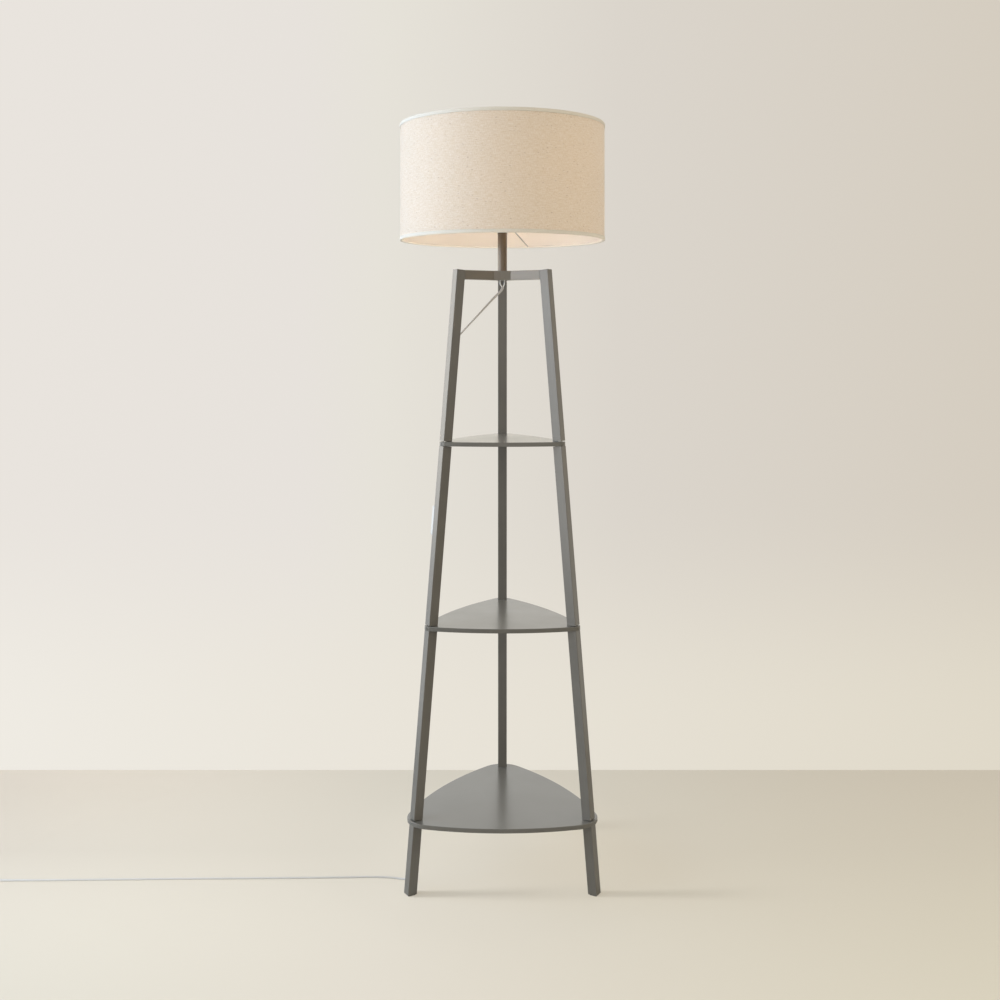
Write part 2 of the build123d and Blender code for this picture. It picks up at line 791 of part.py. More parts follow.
# The tie holds the turns at the coil's front, opposite the lead's way in
tie_turns = [0.5, 1.5, 2.5, 3.5]
tie_radii = [(coil_point(turn) - coil_middle).Y * -1 for turn in tie_turns]
tie_reach = cord_radius + tie_gap + coil_pitch / 12
tie_low = coil_middle.Z - cord_radius - tie_gap
tie_high = coil_middle.Z + coil_layer + cord_radius + tie_gap
tie_span = max(tie_radii) - min(tie_radii) + 2 * tie_reach
tie_across = coil_middle.Y - (max(tie_radii) + min(tie_radii)) / 2
with BuildPart() as lead_tie:
    tie_plane = Plane(
        origin=(coil_middle.X, tie_across, (tie_low + tie_high) / 2), x_dir=(0, 1, 0), z_dir=(1, 0, 0)
    )
    with BuildSketch(tie_plane):
        RectangleRounded(tie_span + 2 * tie_thickness, tie_high - tie_low + 2 * tie_thickness, 3.0)
        RectangleRounded(tie_span, tie_high - tie_low, 2.5, mode=Mode.SUBTRACT)
    extrude(amount=tie_width / 2, both=True)
finish("lead_tie", lead_tie.part)

# --- Clips that hold the lead to the left leg's back face --------------------------------------


def back_face_plane(height, away_from_leg=0.0):
    """On the left leg's back face: X up the leg, Y towards the stem, Z off the face."""
    frame = leg_plane(leg_azimuths["left"], height)
    normal = frame.x_dir.cross(frame.z_dir)
    return Plane(
        origin=frame.origin + normal * (leg_side / 2 + away_from_leg),
        x_dir=frame.z_dir,
        z_dir=normal,
    )


with BuildPart() as lead_clips:
    for height in clip_heights:
        face = back_face_plane(height)
        # Seen end on: X towards the stem, Y off the leg's face
        end_on = Plane(origin=face.origin, x_dir=face.y_dir, z_dir=face.x_dir)
        arch_radius = clip_bore_radius + clip_wall
        with BuildSketch(end_on):
            with Locations((lead_inset, clip_rise / 2)):
                Rectangle(2 * arch_radius, clip_rise)
            with Locations((lead_inset, clip_rise)):
                Circle(arch_radius)
            with Locations((lead_inset - arch_radius - clip_foot / 2, clip_wall / 2)):
                Rectangle(clip_foot + 1, clip_wall)
            with Locations((lead_inset, clip_rise)):
                Circle(clip_bore_radius, mode=Mode.SUBTRACT)
            with Locations((lead_inset, 0)):
                Rectangle(2 * clip_bore_radius, 2 * clip_rise, mode=Mode.SUBTRACT)
            with Locations((lead_inset, -arch_radius)):
                Rectangle(2 * arch_radius, 2 * arch_radius, mode=Mode.SUBTRACT)
        extrude(amount=clip_width / 2, both=True)
finish("lead_clips", lead_clips.part)

# --- Switch ---------------------------------------------------------------------------------

switch_base_plane = back_face_plane(switch_middle, switch_off_leg)
switch_frame = Plane(
    origin=switch_base_plane.origin + switch_base_plane.y_dir * lead_inset,
    x_dir=switch_base_plane.x_dir,
    z_dir=switch_base_plane.z_dir,
)
switch_height = switch_base_height + switch_cover_height
window_length = rocker_length + 2 * rocker_gap + 2.0
window_width = rocker_width + 2 * rocker_gap
pivot_height = switch_height - rocker_depth
screw_places = [(switch_length / 2 - screw_inset, 0), (screw_inset - switch_length / 2, 0)]

with BuildPart() as switch_base:
    with BuildSketch(switch_frame):
        RectangleRounded(switch_length, switch_width, switch_corner)
    extrude(amount=switch_base_height)
    fillet(switch_base.faces().sort_by(Axis((0, 0, 0), switch_frame.z_dir))[0].edges(), radius=1.0)
    with Locations(Plane(switch_frame.origin, switch_frame.x_dir, switch_frame.z_dir * -1)):
        with Locations(*screw_places):
            CounterBoreHole(screw_radius + fit, screw_head_radius + fit, screw_head_height + 0.4)
finish("switch_base", switch_base.part)

with BuildPart() as switch_cover:
    with BuildSketch(switch_frame.offset(switch_base_height)):
        RectangleRounded(switch_length, switch_width, switch_corner)
    extrude(amount=switch_cover_height)
    crown = switch_cover.faces().sort_by(Axis((0, 0, 0), switch_frame.z_dir))[-1]
    fillet(crown.edges(), radius=2.5)
    with BuildSketch(switch_frame.offset(switch_height)):
        Rectangle(window_length, window_width)
    extrude(amount=-switch_cover_height, mode=Mode.SUBTRACT)
    with Locations(Plane(switch_frame.origin, switch_frame.x_dir, switch_frame.z_dir * -1)):
        with Locations(*[Location((x, y, -switch_base_height)) for x, y in screw_places]):
            Hole(screw_radius + fit, depth=5.0)
    # Blind seats for the rocker's pins
    pin_axis = Plane(
        origin=switch_frame.origin + switch_frame.z_dir * pivot_height,
        x_dir=switch_frame.x_dir,
        z_dir=switch_frame.y_dir * -1,
    )
    with BuildSketch(pin_axis):
        Circle(rocker_pin_radius + fit)
    extrude(amount=window_width / 2 + 2.5, both=True, mode=Mode.SUBTRACT)
finish("switch_cover", switch_cover.part)

with BuildPart() as switch_rocker:
    half = rocker_length / 2
    middle_rise = rocker_depth + rocker_rise
    tilt = math.radians(rocker_tilt)
    tilted = Plane(
        origin=pin_axis.origin,
        x_dir=pin_axis.x_dir * math.cos(tilt) + pin_axis.y_dir * math.sin(tilt),
        z_dir=pin_axis.z_dir,
    )
    with BuildSketch(tilted):
        with BuildLine():
            Polyline(
                (half - 1.5, rocker_gap - rocker_depth + 1.5),
                (half, middle_rise + rocker_dish),
                (0, middle_rise),
                (-half, middle_rise + rocker_dish),
                (1.5 - half, rocker_gap - rocker_depth + 1.5),
                close=True,
            )
        make_face()
    extrude(amount=rocker_width / 2, both=True)
    with BuildSketch(pin_axis):
        Circle(rocker_pin_radius)
    extrude(amount=window_width / 2 + 2.0, both=True)
finish("switch_rocker", switch_rocker.part)

with BuildPart() as switch_screws:
    for x, y in screw_places:
        head_seat = switch_frame.offset(screw_head_height + 0.4)
        with BuildSketch(Plane(head_seat.origin + head_seat.x_dir * x, head_seat.x_dir, head_seat.z_dir)):
            Circle(screw_head_radius)
        extrude(amount=-screw_head_height)
        with BuildSketch(Plane(head_seat.origin + head_seat.x_dir * x, head_seat.x_dir, head_seat.z_dir)):
            Circle(screw_radius)
        extrude(amount=switch_base_height - screw_head_height + 3.5)
finish("switch_screws", switch_screws.part)

# --- Plug, lying beside the coil --------------------------------------------------------------

plug_body_back = plug_entry.Y - plug_sleeve_length
plug_face = plug_body_back - plug_length
plug_x = plug_entry.X

with BuildPart() as plug_body:
    with BuildSketch(Plane.XY):
        with BuildLine():
            waist = (plug_body_back + plug_face) / 2 + 4
            Polyline(
                (plug_x - plug_tail_width / 2, plug_body_back),
                (plug_x - plug_tail_width / 2 - 1.5, waist),
                (plug_x - plug_width / 2, plug_face + 9),
                (plug_x - plug_width / 2, plug_face),
                (plug_x + plug_width / 2, plug_face),
                (plug_x + plug_width / 2, plug_face + 9),
                (plug_x + plug_tail_width / 2 + 1.5, waist),
                (plug_x + plug_tail_width / 2, plug_body_back),
                close=True,
            )
        make_face()
    extrude(amount=plug_thickness)
    fillet(plug_body.edges().filter_by(Axis.Z), radius=2.0)
    fillet(plug_body.faces().filter_by(Axis.Z).edges(), radius=1.5)
    with BuildSketch(Plane(origin=plug_entry, z_dir=(0, -1, 0))):
        Circle(cord_radius + 0.9)
    with BuildSketch(Plane(origin=(plug_x, plug_body_back - 1, plug_axis_height), z_dir=(0, -1, 0))):
        Circle(plug_sleeve_radius)
    loft()
finish("plug_body", plug_body.part)

with BuildPart() as plug_pins:
    for side in (-1, 1):
        root = Plane(
            origin=(plug_x + side * pin_spacing / 2, plug_face, plug_axis_height), z_dir=(0, -1, 0)
        )
        with BuildSketch(root):
            Circle(pin_radius)
        extrude(amount=pin_length)
    chamfer(plug_pins.edges().group_by(Axis.Y)[0], length=0.8)
finish("plug_pins", plug_pins.part)
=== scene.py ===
import math

import bmesh
import bpy
from mathutils import Matrix, Vector


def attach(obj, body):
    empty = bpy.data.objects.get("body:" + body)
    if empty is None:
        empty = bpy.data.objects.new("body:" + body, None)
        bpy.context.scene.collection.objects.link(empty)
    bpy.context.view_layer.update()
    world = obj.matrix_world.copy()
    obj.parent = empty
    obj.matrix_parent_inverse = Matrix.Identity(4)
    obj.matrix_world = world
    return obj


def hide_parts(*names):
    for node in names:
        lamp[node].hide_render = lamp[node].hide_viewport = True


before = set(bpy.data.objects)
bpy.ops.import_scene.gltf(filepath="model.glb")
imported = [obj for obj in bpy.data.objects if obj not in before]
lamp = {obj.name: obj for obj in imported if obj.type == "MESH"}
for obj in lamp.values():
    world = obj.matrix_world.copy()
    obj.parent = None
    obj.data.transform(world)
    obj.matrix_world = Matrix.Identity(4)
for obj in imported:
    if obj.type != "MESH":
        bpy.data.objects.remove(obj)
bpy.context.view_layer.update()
scene = bpy.context.scene

# ---------------------------------------------------------------------------
# The viewpoint: a level camera a little below the shade, two and a half metres
# in front of the stem, with its picture shifted down to take in the whole stand.
viewpoint = bpy.data.objects.new("photo_view", bpy.data.cameras.new("photo_view"))
viewpoint.data.lens = 43.416
viewpoint.data.sensor_width = 36
viewpoint.data.shift_x = -0.0024
viewpoint.data.shift_y = -0.165
viewpoint.location = (0, -2.594, 1.152)
viewpoint.rotation_euler = (math.radians(90), 0, 0)
scene.collection.objects.link(viewpoint)
scene.camera = viewpoint
scene.view_settings.view_transform = "Standard"

# ---------------------------------------------------------------------------
# The lead: a white flat twin flex, two cores side by side under one soft sheath.
# It hangs from the hub to the left leg, is clipped down the back of it through
# the switch, crosses the floor, and ends in a tied coil with its plug.
lead_width = 0.0055
lead_thickness = 0.0028
across_leg = Vector((0.862664, 0.498059, -0.088025))

def angles(parts):
    return [2 * math.pi * k / parts for k in range(parts)]

def on_circle(reach, angle, height):
    return Vector((reach * math.cos(angle), reach * math.sin(angle), height))

def route_line(knots):
    """Reads the smooth line that a NURBS route follows."""
    curve = bpy.data.curves.new("route", "CURVE")
    curve.dimensions = "3D"
    curve.resolution_u = 12
    spline = curve.splines.new("NURBS")
    spline.points.add(len(knots) - 1)
    for point, place in zip(spline.points, knots):
        point.co = (*place, 1)
    spline.order_u = 3
    spline.use_endpoint_u = True
    holder = bpy.data.objects.new("route", curve)
    wire = bpy.data.meshes.new_from_object(holder)
    line = [v.co.copy() for v in wire.vertices]
    bpy.data.meshes.remove(wire)
    bpy.data.objects.remove(holder)
    bpy.data.curves.remove(curve)
    return line

def skin(name, finish, rings, joined=False, sharp=35):
    """Joins rings of points into one skin with a seam, unrolled in metres."""
    count = len(rings[0])
    spans = len(rings) if joined else len(rings) - 1
    faces = []
    for r in range(spans):
        low, high = r * count, (r + 1) % len(rings) * count
        for i in range(count):
            after = (i + 1) % count
            faces.append((low + i, low + after, high + after, high + i))
    if not joined:
        faces += [tuple(range(count))[::-1], tuple(range(spans * count, len(rings) * count))]
    mesh = bpy.data.meshes.new(name)
    mesh.from_pydata([tuple(p) for ring in rings for p in ring], [], faces)
    widest = max(rings, key=lambda ring: sum((ring[i] - ring[i - 1]).length for i in range(count)))
    around, along = [0.0], [0.0]
    for i in range(count):
        around.append(around[-1] + (widest[(i + 1) % count] - widest[i]).length)
    for r in range(spans):
        along.append(along[-1] + (rings[(r + 1) % len(rings)][0] - rings[r][0]).length)
    layer = mesh.uv_layers.new(name="unrolled")
    for polygon in mesh.polygons:
        r, i = divmod(polygon.index, count)
        if r < spans:
            corners = [(around[i], along[r]), (around[i + 1], along[r]),
                       (around[i + 1], along[r + 1]), (around[i], along[r + 1])]
        else:
            corners = [(mesh.vertices[v].co.x, mesh.vertices[v].co.y) for v in polygon.vertices]
        for loop, place in zip(polygon.loop_indices, corners):
            layer.data[loop].uv = place
    form = bmesh.new()
    form.from_mesh(mesh)
    bmesh.ops.recalc_face_normals(form, faces=form.faces)
    form.to_mesh(mesh)
    form.free()
    mesh.shade_smooth()
    mesh.set_sharp_from_angle(angle=math.radians(sharp))
    mesh.materials.append(finish)
    piece = bpy.data.objects.new(name, mesh)
    scene.collection.objects.link(piece)
    return piece

def along_line(line, outline, wide_at):
    """Places a flat outline square to a line at each of its points."""
    rings = []
    for i, place in enumerate(line):
        ahead = (line[min(i + 1, len(line) - 1)] - line[max(i - 1, 0)]).normalized()
        wide = wide_at(i / (len(line) - 1))
        wide = (wide - ahead * wide.dot(ahead)).normalized()
        thick = ahead.cross(wide)
        rings.append([place + wide * a + thick * b for a, b in outline])
    return rings

def turning(ways):
    """Turns the wide side smoothly from one route point's direction to the next."""
    spans = len(ways) - 2
    stations = [0.0] + [k + 0.5 for k in range(spans)] + [float(spans)]
    def wide_at(share):
        t = share * spans
        for k in range(len(stations) - 1):
            if t <= stations[k + 1] or k == len(stations) - 2:
                part = (t - stations[k]) / (stations[k + 1] - stations[k])
                part = min(max(part, 0.0), 1.0)
                part = part * part * (3 - 2 * part)
                return ways[k].lerp(ways[k + 1], part)
    return wide_at

def two_cores(width, thickness, points=9):
    """The outline of a flat twin flex: two round cores with a shallow groove between."""
    core = thickness / 2
    reach = width / 2 - core
    groove = 0.62  # half the web's thickness as a share of a core's radius
    opening = math.asin(groove)
    step = (2 * math.pi - 2 * opening) / (points - 1)
    right = [(-math.pi + opening) + k * step for k in range(points)]
    outline = [(reach + core * math.cos(a), core * math.sin(a)) for a in right]
    return outline + [(-x, -y) for x, y in outline]

def feed(tree, node, plugs):
    """Joins an output to each named socket, or sets the socket's own value."""
    for socket, value in plugs.items():
        if isinstance(value, bpy.types.NodeSocket):
            tree.links.new(value, node.inputs[socket])
        else:
            node.inputs[socket].default_value = value

def add(tree, kind, plugs=None, **settings):
    """Adds one node: settings are its own options, plugs feed its sockets."""
    node = tree.nodes.new("ShaderNode" + kind)
    for key, value in settings.items():
        setattr(node, key, value)
    feed(tree, node, plugs or {})
    return node

def calc(tree, step, *values):
    """One step of arithmetic on numbers and outputs."""
    return add(tree, "Math", dict(enumerate(values)), operation=step).outputs[0]

def scaled(tree, colour, amount):
    return add(tree, "VectorMath", {0: colour, "Scale": amount}, operation="SCALE").outputs[0]

def mixed(tree, share, one, other, **settings):
    return add(tree, "MixRGB", {"Fac": share, "Color1": one, "Color2": other}, **settings).outputs["Color"]

def graded(tree, value, start, end, low=0.0, high=1.0, way="LINEAR"):
    """Carries the range from start to end over to the range from low to high."""
    ends = {"From Min": start, "From Max": end, "To Min": low, "To Max": high}
    return add(tree, "MapRange", {"Value": value, **ends}, interpolation_type=way).outputs["Result"]

def noise(tree, place, size, detail=2.0, roughness=0.5, distortion=0.0):
    kinds = {"Scale": size, "Detail": detail, "Roughness": roughness, "Distortion": distortion}
    return add(tree, "TexNoise", {"Vector": place, **kinds}).outputs

def raised_by(tree, height, strength, depth):
    """Turns a pattern into fine relief, depth metres deep at full strength."""
    return add(tree, "Bump", {"Height": height, "Strength": strength, "Distance": depth}).outputs["Normal"]

def split(tree, vector):
    return add(tree, "SeparateXYZ", {"Vector": vector}).outputs

def own_place(tree):
    return add(tree, "TexCoord").outputs["Object"]

def new_finish(name):
    """Starts a finish and returns it with its nodes and its shader."""
    made = bpy.data.materials.new(name)
    made.use_nodes = True
    tree = made.node_tree
    tree.nodes.clear()
    shader = add(tree, "BsdfPrincipled")
    add(tree, "OutputMaterial", {"Surface": shader.outputs["BSDF"]})
    return made, tree, shader

def new_effect(name, inputs, outputs):
    """Starts a shared effect with named inputs and outputs."""
    group = bpy.data.node_groups.new(name, "ShaderNodeTree")
    for label, kind, value in inputs:
        socket = group.interface.new_socket(name=label, in_out="INPUT", socket_type="NodeSocket" + kind)
        if value is not None:
            socket.default_value = value
    for label, kind in outputs:
        group.interface.new_socket(name=label, in_out="OUTPUT", socket_type="NodeSocket" + kind)
    return group, group.nodes.new("NodeGroupInput").outputs, group.nodes.new("NodeGroupOutput")

def use_effect(tree, group, plugs):
    """Places a shared effect in a finish with its own values."""
    return add(tree, "Group", plugs, node_tree=group).outputs

# Shared effect: colour that drifts a little from place to place, with fine relief.
mottle, given, out = new_effect(
    "mottle",
    [("Place", "Vector", None), ("Colour", "Color", (0.8, 0.8, 0.8, 1)), ("Patch size", "Float", 20.0),
     ("Drift", "Float", 0.05), ("Relief size", "Float", 900.0)],
    [("Colour", "Color"), ("Relief", "Float"), ("Patches", "Float")])
patches = noise(mottle, given["Place"], given["Patch size"], 4.0, 0.6)["Fac"]
drifted = calc(mottle, "MULTIPLY", calc(mottle, "SUBTRACT", patches, 0.5), given["Drift"])
feed(mottle, out, {
    "Colour": scaled(mottle, given["Colour"], calc(mottle, "MULTIPLY_ADD", drifted, 2.0, 1.0)),
    "Relief": noise(mottle, given["Place"], given["Relief size"], 3.0, 0.55)["Fac"],
    "Patches": patches,
})

def mottled(tree, colour, patch, drift, relief):
    return use_effect(tree, mottle, {"Place": own_place(tree), "Colour": (*colour, 1), "Patch size": patch,
                                     "Drift": drift, "Relief size": relief})

def smooth_finish(name, colour, roughness, drift=0.04, patch=18.0, relief=900.0, depth=0.00002, spread=0.06,
                  **sockets):
    """A moulded, painted or plated finish with slight drift of colour and gloss."""
    made, tree, shader = new_finish(name)
    shared = mottled(tree, colour, patch, drift, relief)
    feed(tree, shader, {
        "Base Color": shared["Colour"],
        "Roughness": graded(tree, shared["Patches"], 0.3, 0.7, roughness - spread, roughness + spread),
        "Normal": raised_by(tree, shared["Relief"], 0.5, depth),
        **{socket.replace("_", " "): value for socket, value in sockets.items()},
    })
    return made

sheath_finish = smooth_finish("lead_sheath", (0.555, 0.525, 0.49), 0.36, drift=0.05, patch=40.0,
                              relief=600.0, depth=0.00001, Coat_Weight=0.12, Coat_Roughness=0.3)
wire_finish = smooth_finish("white_wire", (0.93, 0.91, 0.87), 0.35, drift=0.04, patch=60.0, depth=0.00001)

def dress(node_name, finish):
    """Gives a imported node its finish."""
    slots = lamp[node_name].data.materials
    if not slots:
        slots.append(finish)
    for k in range(len(slots)):
        slots[k] = finish

def flex(name, knots):
    """One run of flex: each knot says where it lies and which way its wide side faces."""
    line = route_line([place for place, _ in knots])
    outline = two_cores(lead_width, lead_thickness)
    rings = along_line(line, outline, turning([way for _, way in knots]))
    return skin(name, sheath_finish, rings, sharp=80), line

side = Vector((1, 0, 0))
deep = Vector((0.25, 1, 0))
lead_upper, upper_line = flex("flex_upper", [
    ((0.0004, 0.0, 1.2556), side),
    ((0.0004, 0.0, 1.2495), side),
    ((-0.0132, -0.0056, 1.2374), side),
    ((-0.0250, -0.0107, 1.2245), Vector((0.75, 0.8, 0))),
    ((-0.0840, -0.0358, 1.1595), deep),
    ((-0.1053, -0.0449, 1.1360), Vector((0.7, 0.8, 0))),
    ((-0.1091, -0.0473, 1.0850), across_leg),
    ((-0.1271, -0.0577, 0.8500), across_leg),
    ((-0.13155, -0.0577, 0.80579), across_leg),
    ((-0.13257, -0.05829, 0.79247), across_leg),
])
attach(lead_upper, "stand")
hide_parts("lead_upper")

level_way = Vector((0, 1, 0))
upright = Vector((0, 0, 1))
floor_run = 0.0016
coil_centre = Vector((-1.1175, -0.0865, 0.0031))
coil_reach, coil_inside, coil_pitch, coil_rise = 0.036, 0.0238, 0.0061, 0.006
turns_in, climb_turns, coil_turns, points_per_turn = 2.0, 0.5, 4.25, 16

def coil_place(turn):
    """Two turns wind inward on the floor, a half turn climbs, the rest winds outward on top."""
    climb = min(max((turn - turns_in) / climb_turns, 0.0), 1.0)
    if turn <= turns_in:
        reach = coil_reach - coil_pitch * turn
    elif climb < 1:
        reach = coil_inside - coil_pitch / 2 * climb * (1 - climb)
    else:
        reach = coil_inside + coil_pitch * (turn - turns_in - climb_turns)
    reach /= math.cos(math.pi / points_per_turn)
    rise = coil_rise * (3 * climb ** 2 - 2 * climb ** 3)
    return coil_centre + on_circle(reach, math.radians(90) + 2 * math.pi * turn, rise)

plug_x, plug_z = -1.15647, 0.0070
lead_lower, lower_line = flex("flex_lower", [
    ((-0.13730, -0.06102, 0.73065), across_leg),
    ((-0.13832, -0.06161, 0.71733), across_leg),
    ((-0.1405, -0.0654, 0.6750), across_leg),
    ((-0.1833, -0.0901, 0.1150), across_leg),
    ((-0.1860, -0.0885, 0.0720), across_leg),
    ((-0.1895, -0.0770, 0.0360), Vector((0.75, 0.6, 0))),
    ((-0.1950, -0.0600, 0.0120), Vector((0.5, 0.85, 0))),
    ((-0.2070, -0.0455, floor_run), level_way),
    ((-0.2360, -0.0355, floor_run), level_way),
    ((-0.2850, -0.0335, floor_run), level_way),
    ((-0.3520, -0.0365, floor_run), level_way),
    ((-0.4400, -0.0385, floor_run), level_way),
    ((-0.6400, -0.0415, floor_run), level_way),
    ((-0.8500, -0.0465, floor_run), level_way),
    ((-1.0000, -0.0500, floor_run), level_way),
    ((-1.0620, -0.0505, 0.0022), Vector((0, 1, 0.35))),
    ((-1.1120, -0.0505, 0.0031), upright),
    *((coil_place(k / points_per_turn), upright) for k in range(1, int(coil_turns * points_per_turn) + 1)),
    ((-1.1526, -0.1000, 0.0091), upright),
    ((-1.1550, -0.1130, 0.0076), Vector((0.8, 0, 0.6))),
    ((plug_x, -0.1205, plug_z), side),
    ((plug_x, -0.1265, plug_z), side),
])
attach(lead_lower, "stand")
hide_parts("lead_lower", "lead_coil")

# ---------------------------------------------------------------------------
# The two single wires between the hub and the flex: white insulated wires that
# come out of the bush apart, bow a little and run into the end of the sheath.
wire_radius = 0.00125
wire_outline = [(wire_radius * math.cos(a), wire_radius * math.sin(a)) for a in angles(14)]
for label, knots in (
    ("left", [(-0.0049, 0, 1.2706), (-0.0053, -0.0006, 1.2664), (-0.0052, -0.0008, 1.2622),
              (-0.0034, -0.0004, 1.2588), (-0.0011, 0, 1.2560), (-0.0009, 0, 1.2538)]),
    ("right", [(0.0040, 0, 1.2706), (0.0046, -0.0004, 1.2668), (0.0045, -0.0006, 1.2626),
               (0.0032, -0.0003, 1.2588), (0.0019, 0, 1.2562), (0.0017, 0, 1.2538)]),
):
    rings = along_line(route_line(knots), wire_outline, lambda share: side)
    wire = skin("lead_wire_" + label, wire_finish, rings, sharp=60)
    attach(wire, "stand")

# ---------------------------------------------------------------------------
# The outlet bush: a small turned plastic plug pressed into the hub's underside,
# with a rounded lip and a bore for the wires.
def turned(name, finish, outline, foot=0.0, parts=64, sharp=35):
    """A turned piece about the stem's axis: the outline gives radius and height above the foot."""
    rings = [[on_circle(r, angle, foot + z) for r, z in outline] for angle in angles(parts)]
    return skin(name, finish, rings, joined=True, sharp=sharp)

hub_underside = 1.269
moulding = smooth_finish("white_moulding", (0.72, 0.69, 0.64), 0.36, drift=0.03, patch=30.0, relief=1400.0,
                         depth=0.00003)
bush = turned("outlet_bush", moulding, [
    (0.0019, 0.0010), (0.0019, 0.0025), (0.0068, 0.0025), (0.0069, 0.0008),
    (0.0062, 0.0001), (0.0042, 0.0), (0.0030, 0.0003)], foot=hub_underside)
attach(bush, "stand")
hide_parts("lead_outlet")

# ---------------------------------------------------------------------------
# The clips: short white saddles, pinned to the back of the left leg, that hold
# the flex against the wood.
dress("lead_clips", moulding)

# ---------------------------------------------------------------------------
# The inline switch: a two-part moulded case with a rocker in its window, screwed
# shut from below and held against the leg half way down.
switch_shell = smooth_finish("switch_shell", (0.66, 0.63, 0.575), 0.36, drift=0.03, patch=25.0,
                             relief=1100.0, depth=0.00004)
dress("switch_base", switch_shell)
dress("switch_cover", switch_shell)
dress("switch_rocker", smooth_finish("rocker_white", (0.70, 0.70, 0.68), 0.345, drift=0.02, patch=40.0))
dress("switch_screws", smooth_finish("zinc_screws", (0.55, 0.56, 0.57), 0.34, drift=0.12, patch=300.0,
                                     Metallic=1.0))

# ---------------------------------------------------------------------------
# The tie round the coil: a flat white strap of ribbed nylon, closed on itself.
tie_finish, tree, shader = new_finish("lead_tie")
ribs = add(tree, "TexWave", {"Vector": own_place(tree), "Scale": 180.0, "Distortion": 0.4},
           bands_direction="X").outputs["Fac"]
feed(tree, shader, {
    "Base Color": mixed(tree, ribs, (0.50, 0.50, 0.49, 1), (0.60, 0.60, 0.58, 1)),
    "Normal": raised_by(tree, ribs, 0.6, 0.0002),
    "Roughness": 0.6,
})
dress("lead_tie", tie_finish)

# ---------------------------------------------------------------------------
# The plug: a flat two-pin plug moulded in one with a ribbed, tapering sleeve,
# waisted for the fingers. The pins are nickel plated and sleeved near the body.
def plug_ring(y, half_width, half_height, squareness):
    """A rounded oblong square to the plug's length: the squareness is 2 for an oval."""
    ring = []
    for angle in angles(48):
        c, s = math.cos(angle), math.sin(angle)
        across = math.copysign(abs(c) ** (2 / squareness), c) * half_width
        up = math.copysign(abs(s) ** (2 / squareness), s) * half_height
        ring.append(Vector((plug_x + across, y, plug_z + up)))
    return ring

sleeve_start, rib_pitch, sleeve_thickness = -0.1262, 0.0040, 0.0034
plug_rings = []
for rib in range(5):
    start = sleeve_start - rib * rib_pitch
    reach = sleeve_thickness + rib * 0.00030
    for step, swell in ((0.0, -0.00035), (0.0003, 0.0), (0.0026, 0.00008), (0.0029, -0.00035)):
        plug_rings.append(plug_ring(start - step, (reach + swell) * 1.25, reach + swell, 2.2))
for section in (
    (-0.1462, 0.0058, 0.0047, 2.3), (-0.1470, 0.0078, 0.0056, 2.5), (-0.1490, 0.0097, 0.0062, 2.8),
    (-0.1520, 0.0108, 0.0065, 3.0), (-0.1560, 0.0108, 0.0065, 3.2), (-0.1600, 0.0104, 0.0063, 3.4),
    (-0.1640, 0.0106, 0.0063, 3.6), (-0.1680, 0.0116, 0.0066, 3.8), (-0.1715, 0.0126, 0.0069, 4.2),
    (-0.1750, 0.0129, 0.0070, 4.6), (-0.1785, 0.0129, 0.0070, 5.0), (-0.1794, 0.0127, 0.0068, 5.0),
    (-0.17985, 0.0123, 0.0064, 5.0), (-0.1800, 0.0118, 0.0059, 5.0),
):
    plug_rings.append(plug_ring(*section))
plug = skin("plug_moulding", moulding, plug_rings, sharp=50)
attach(plug, "stand")
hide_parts("plug_body")

pin_finish, tree, shader = new_finish("plug_pins")
sleeved = graded(tree, split(tree, own_place(tree))["Y"], -0.1886, -0.1884)
plated = mottled(tree, (0.60, 0.58, 0.55), 200.0, 0.08, 2000.0)["Colour"]
feed(tree, shader, {
    "Base Color": mixed(tree, sleeved, plated, (0.05, 0.05, 0.05, 1)),
    "Metallic": calc(tree, "SUBTRACT", 1.0, sleeved),
    "Roughness": graded(tree, sleeved, 0.0, 1.0, 0.22, 0.42),
})
dress("plug_pins", pin_finish)

# ---------------------------------------------------------------------------
# The legs and arms: square lengths of beech, sanded and sprayed in a satin taupe
# enamel. The grain shows faintly through it, and the edges are lighter: partly the
# enamel thinning there, partly a painted highlight along the rounded edges.
enamel = (0.126, 0.115, 0.096)
# The arms' enamel is a warmer, lighter copy of the legs': painted warm light falling from the shade above.
arm_enamel_painted_warm_light = (0.146, 0.124, 0.092)
hub_middle = (0, 0, 1.279)
leg_lean = math.radians(5.05)
foot_circle = 0.219

painted_grain, given, out = new_effect(
    "painted_grain",
    [("Place", "Vector", None), ("Colour", "Color", (*enamel, 1)), ("Half width", "Float", 0.01),
     ("Edge wear", "Float", 0.25)],
    [("Colour", "Color"), ("Roughness", "Float"), ("Relief", "Float")])
across_grain, along_grain = 260.0, 9.0
stretched = add(painted_grain, "Mapping", {"Vector": given["Place"],
                                           "Scale": (across_grain, across_grain, along_grain)}).outputs[0]
fibres = noise(painted_grain, stretched, 1.0, 5.0, 0.6, 0.3)["Fac"]
clouds = noise(painted_grain, given["Place"], 14.0, 3.0)["Fac"]
peel = noise(painted_grain, given["Place"], 650.0)["Fac"]
place = split(painted_grain, given["Place"])
corner = calc(painted_grain, "MINIMUM", calc(painted_grain, "ABSOLUTE", place["X"]),
              calc(painted_grain, "ABSOLUTE", place["Y"]))
nearness = calc(painted_grain, "DIVIDE", corner, given["Half width"])
edge = graded(painted_grain, nearness, 0.86, 0.97, way="SMOOTHSTEP")
# Lighter edges: partly thinned enamel, partly a painted highlight along the rounded corners.
worn_and_highlit_edge = calc(painted_grain, "MULTIPLY", edge, graded(painted_grain, clouds, 0.35, 0.65))
worn_and_highlit_edge = calc(painted_grain, "MULTIPLY", worn_and_highlit_edge, given["Edge wear"])
level = calc(painted_grain, "MULTIPLY", graded(painted_grain, fibres, 0.3, 0.7, 0.95, 1.05),
             graded(painted_grain, clouds, 0.3, 0.7, 0.96, 1.04))
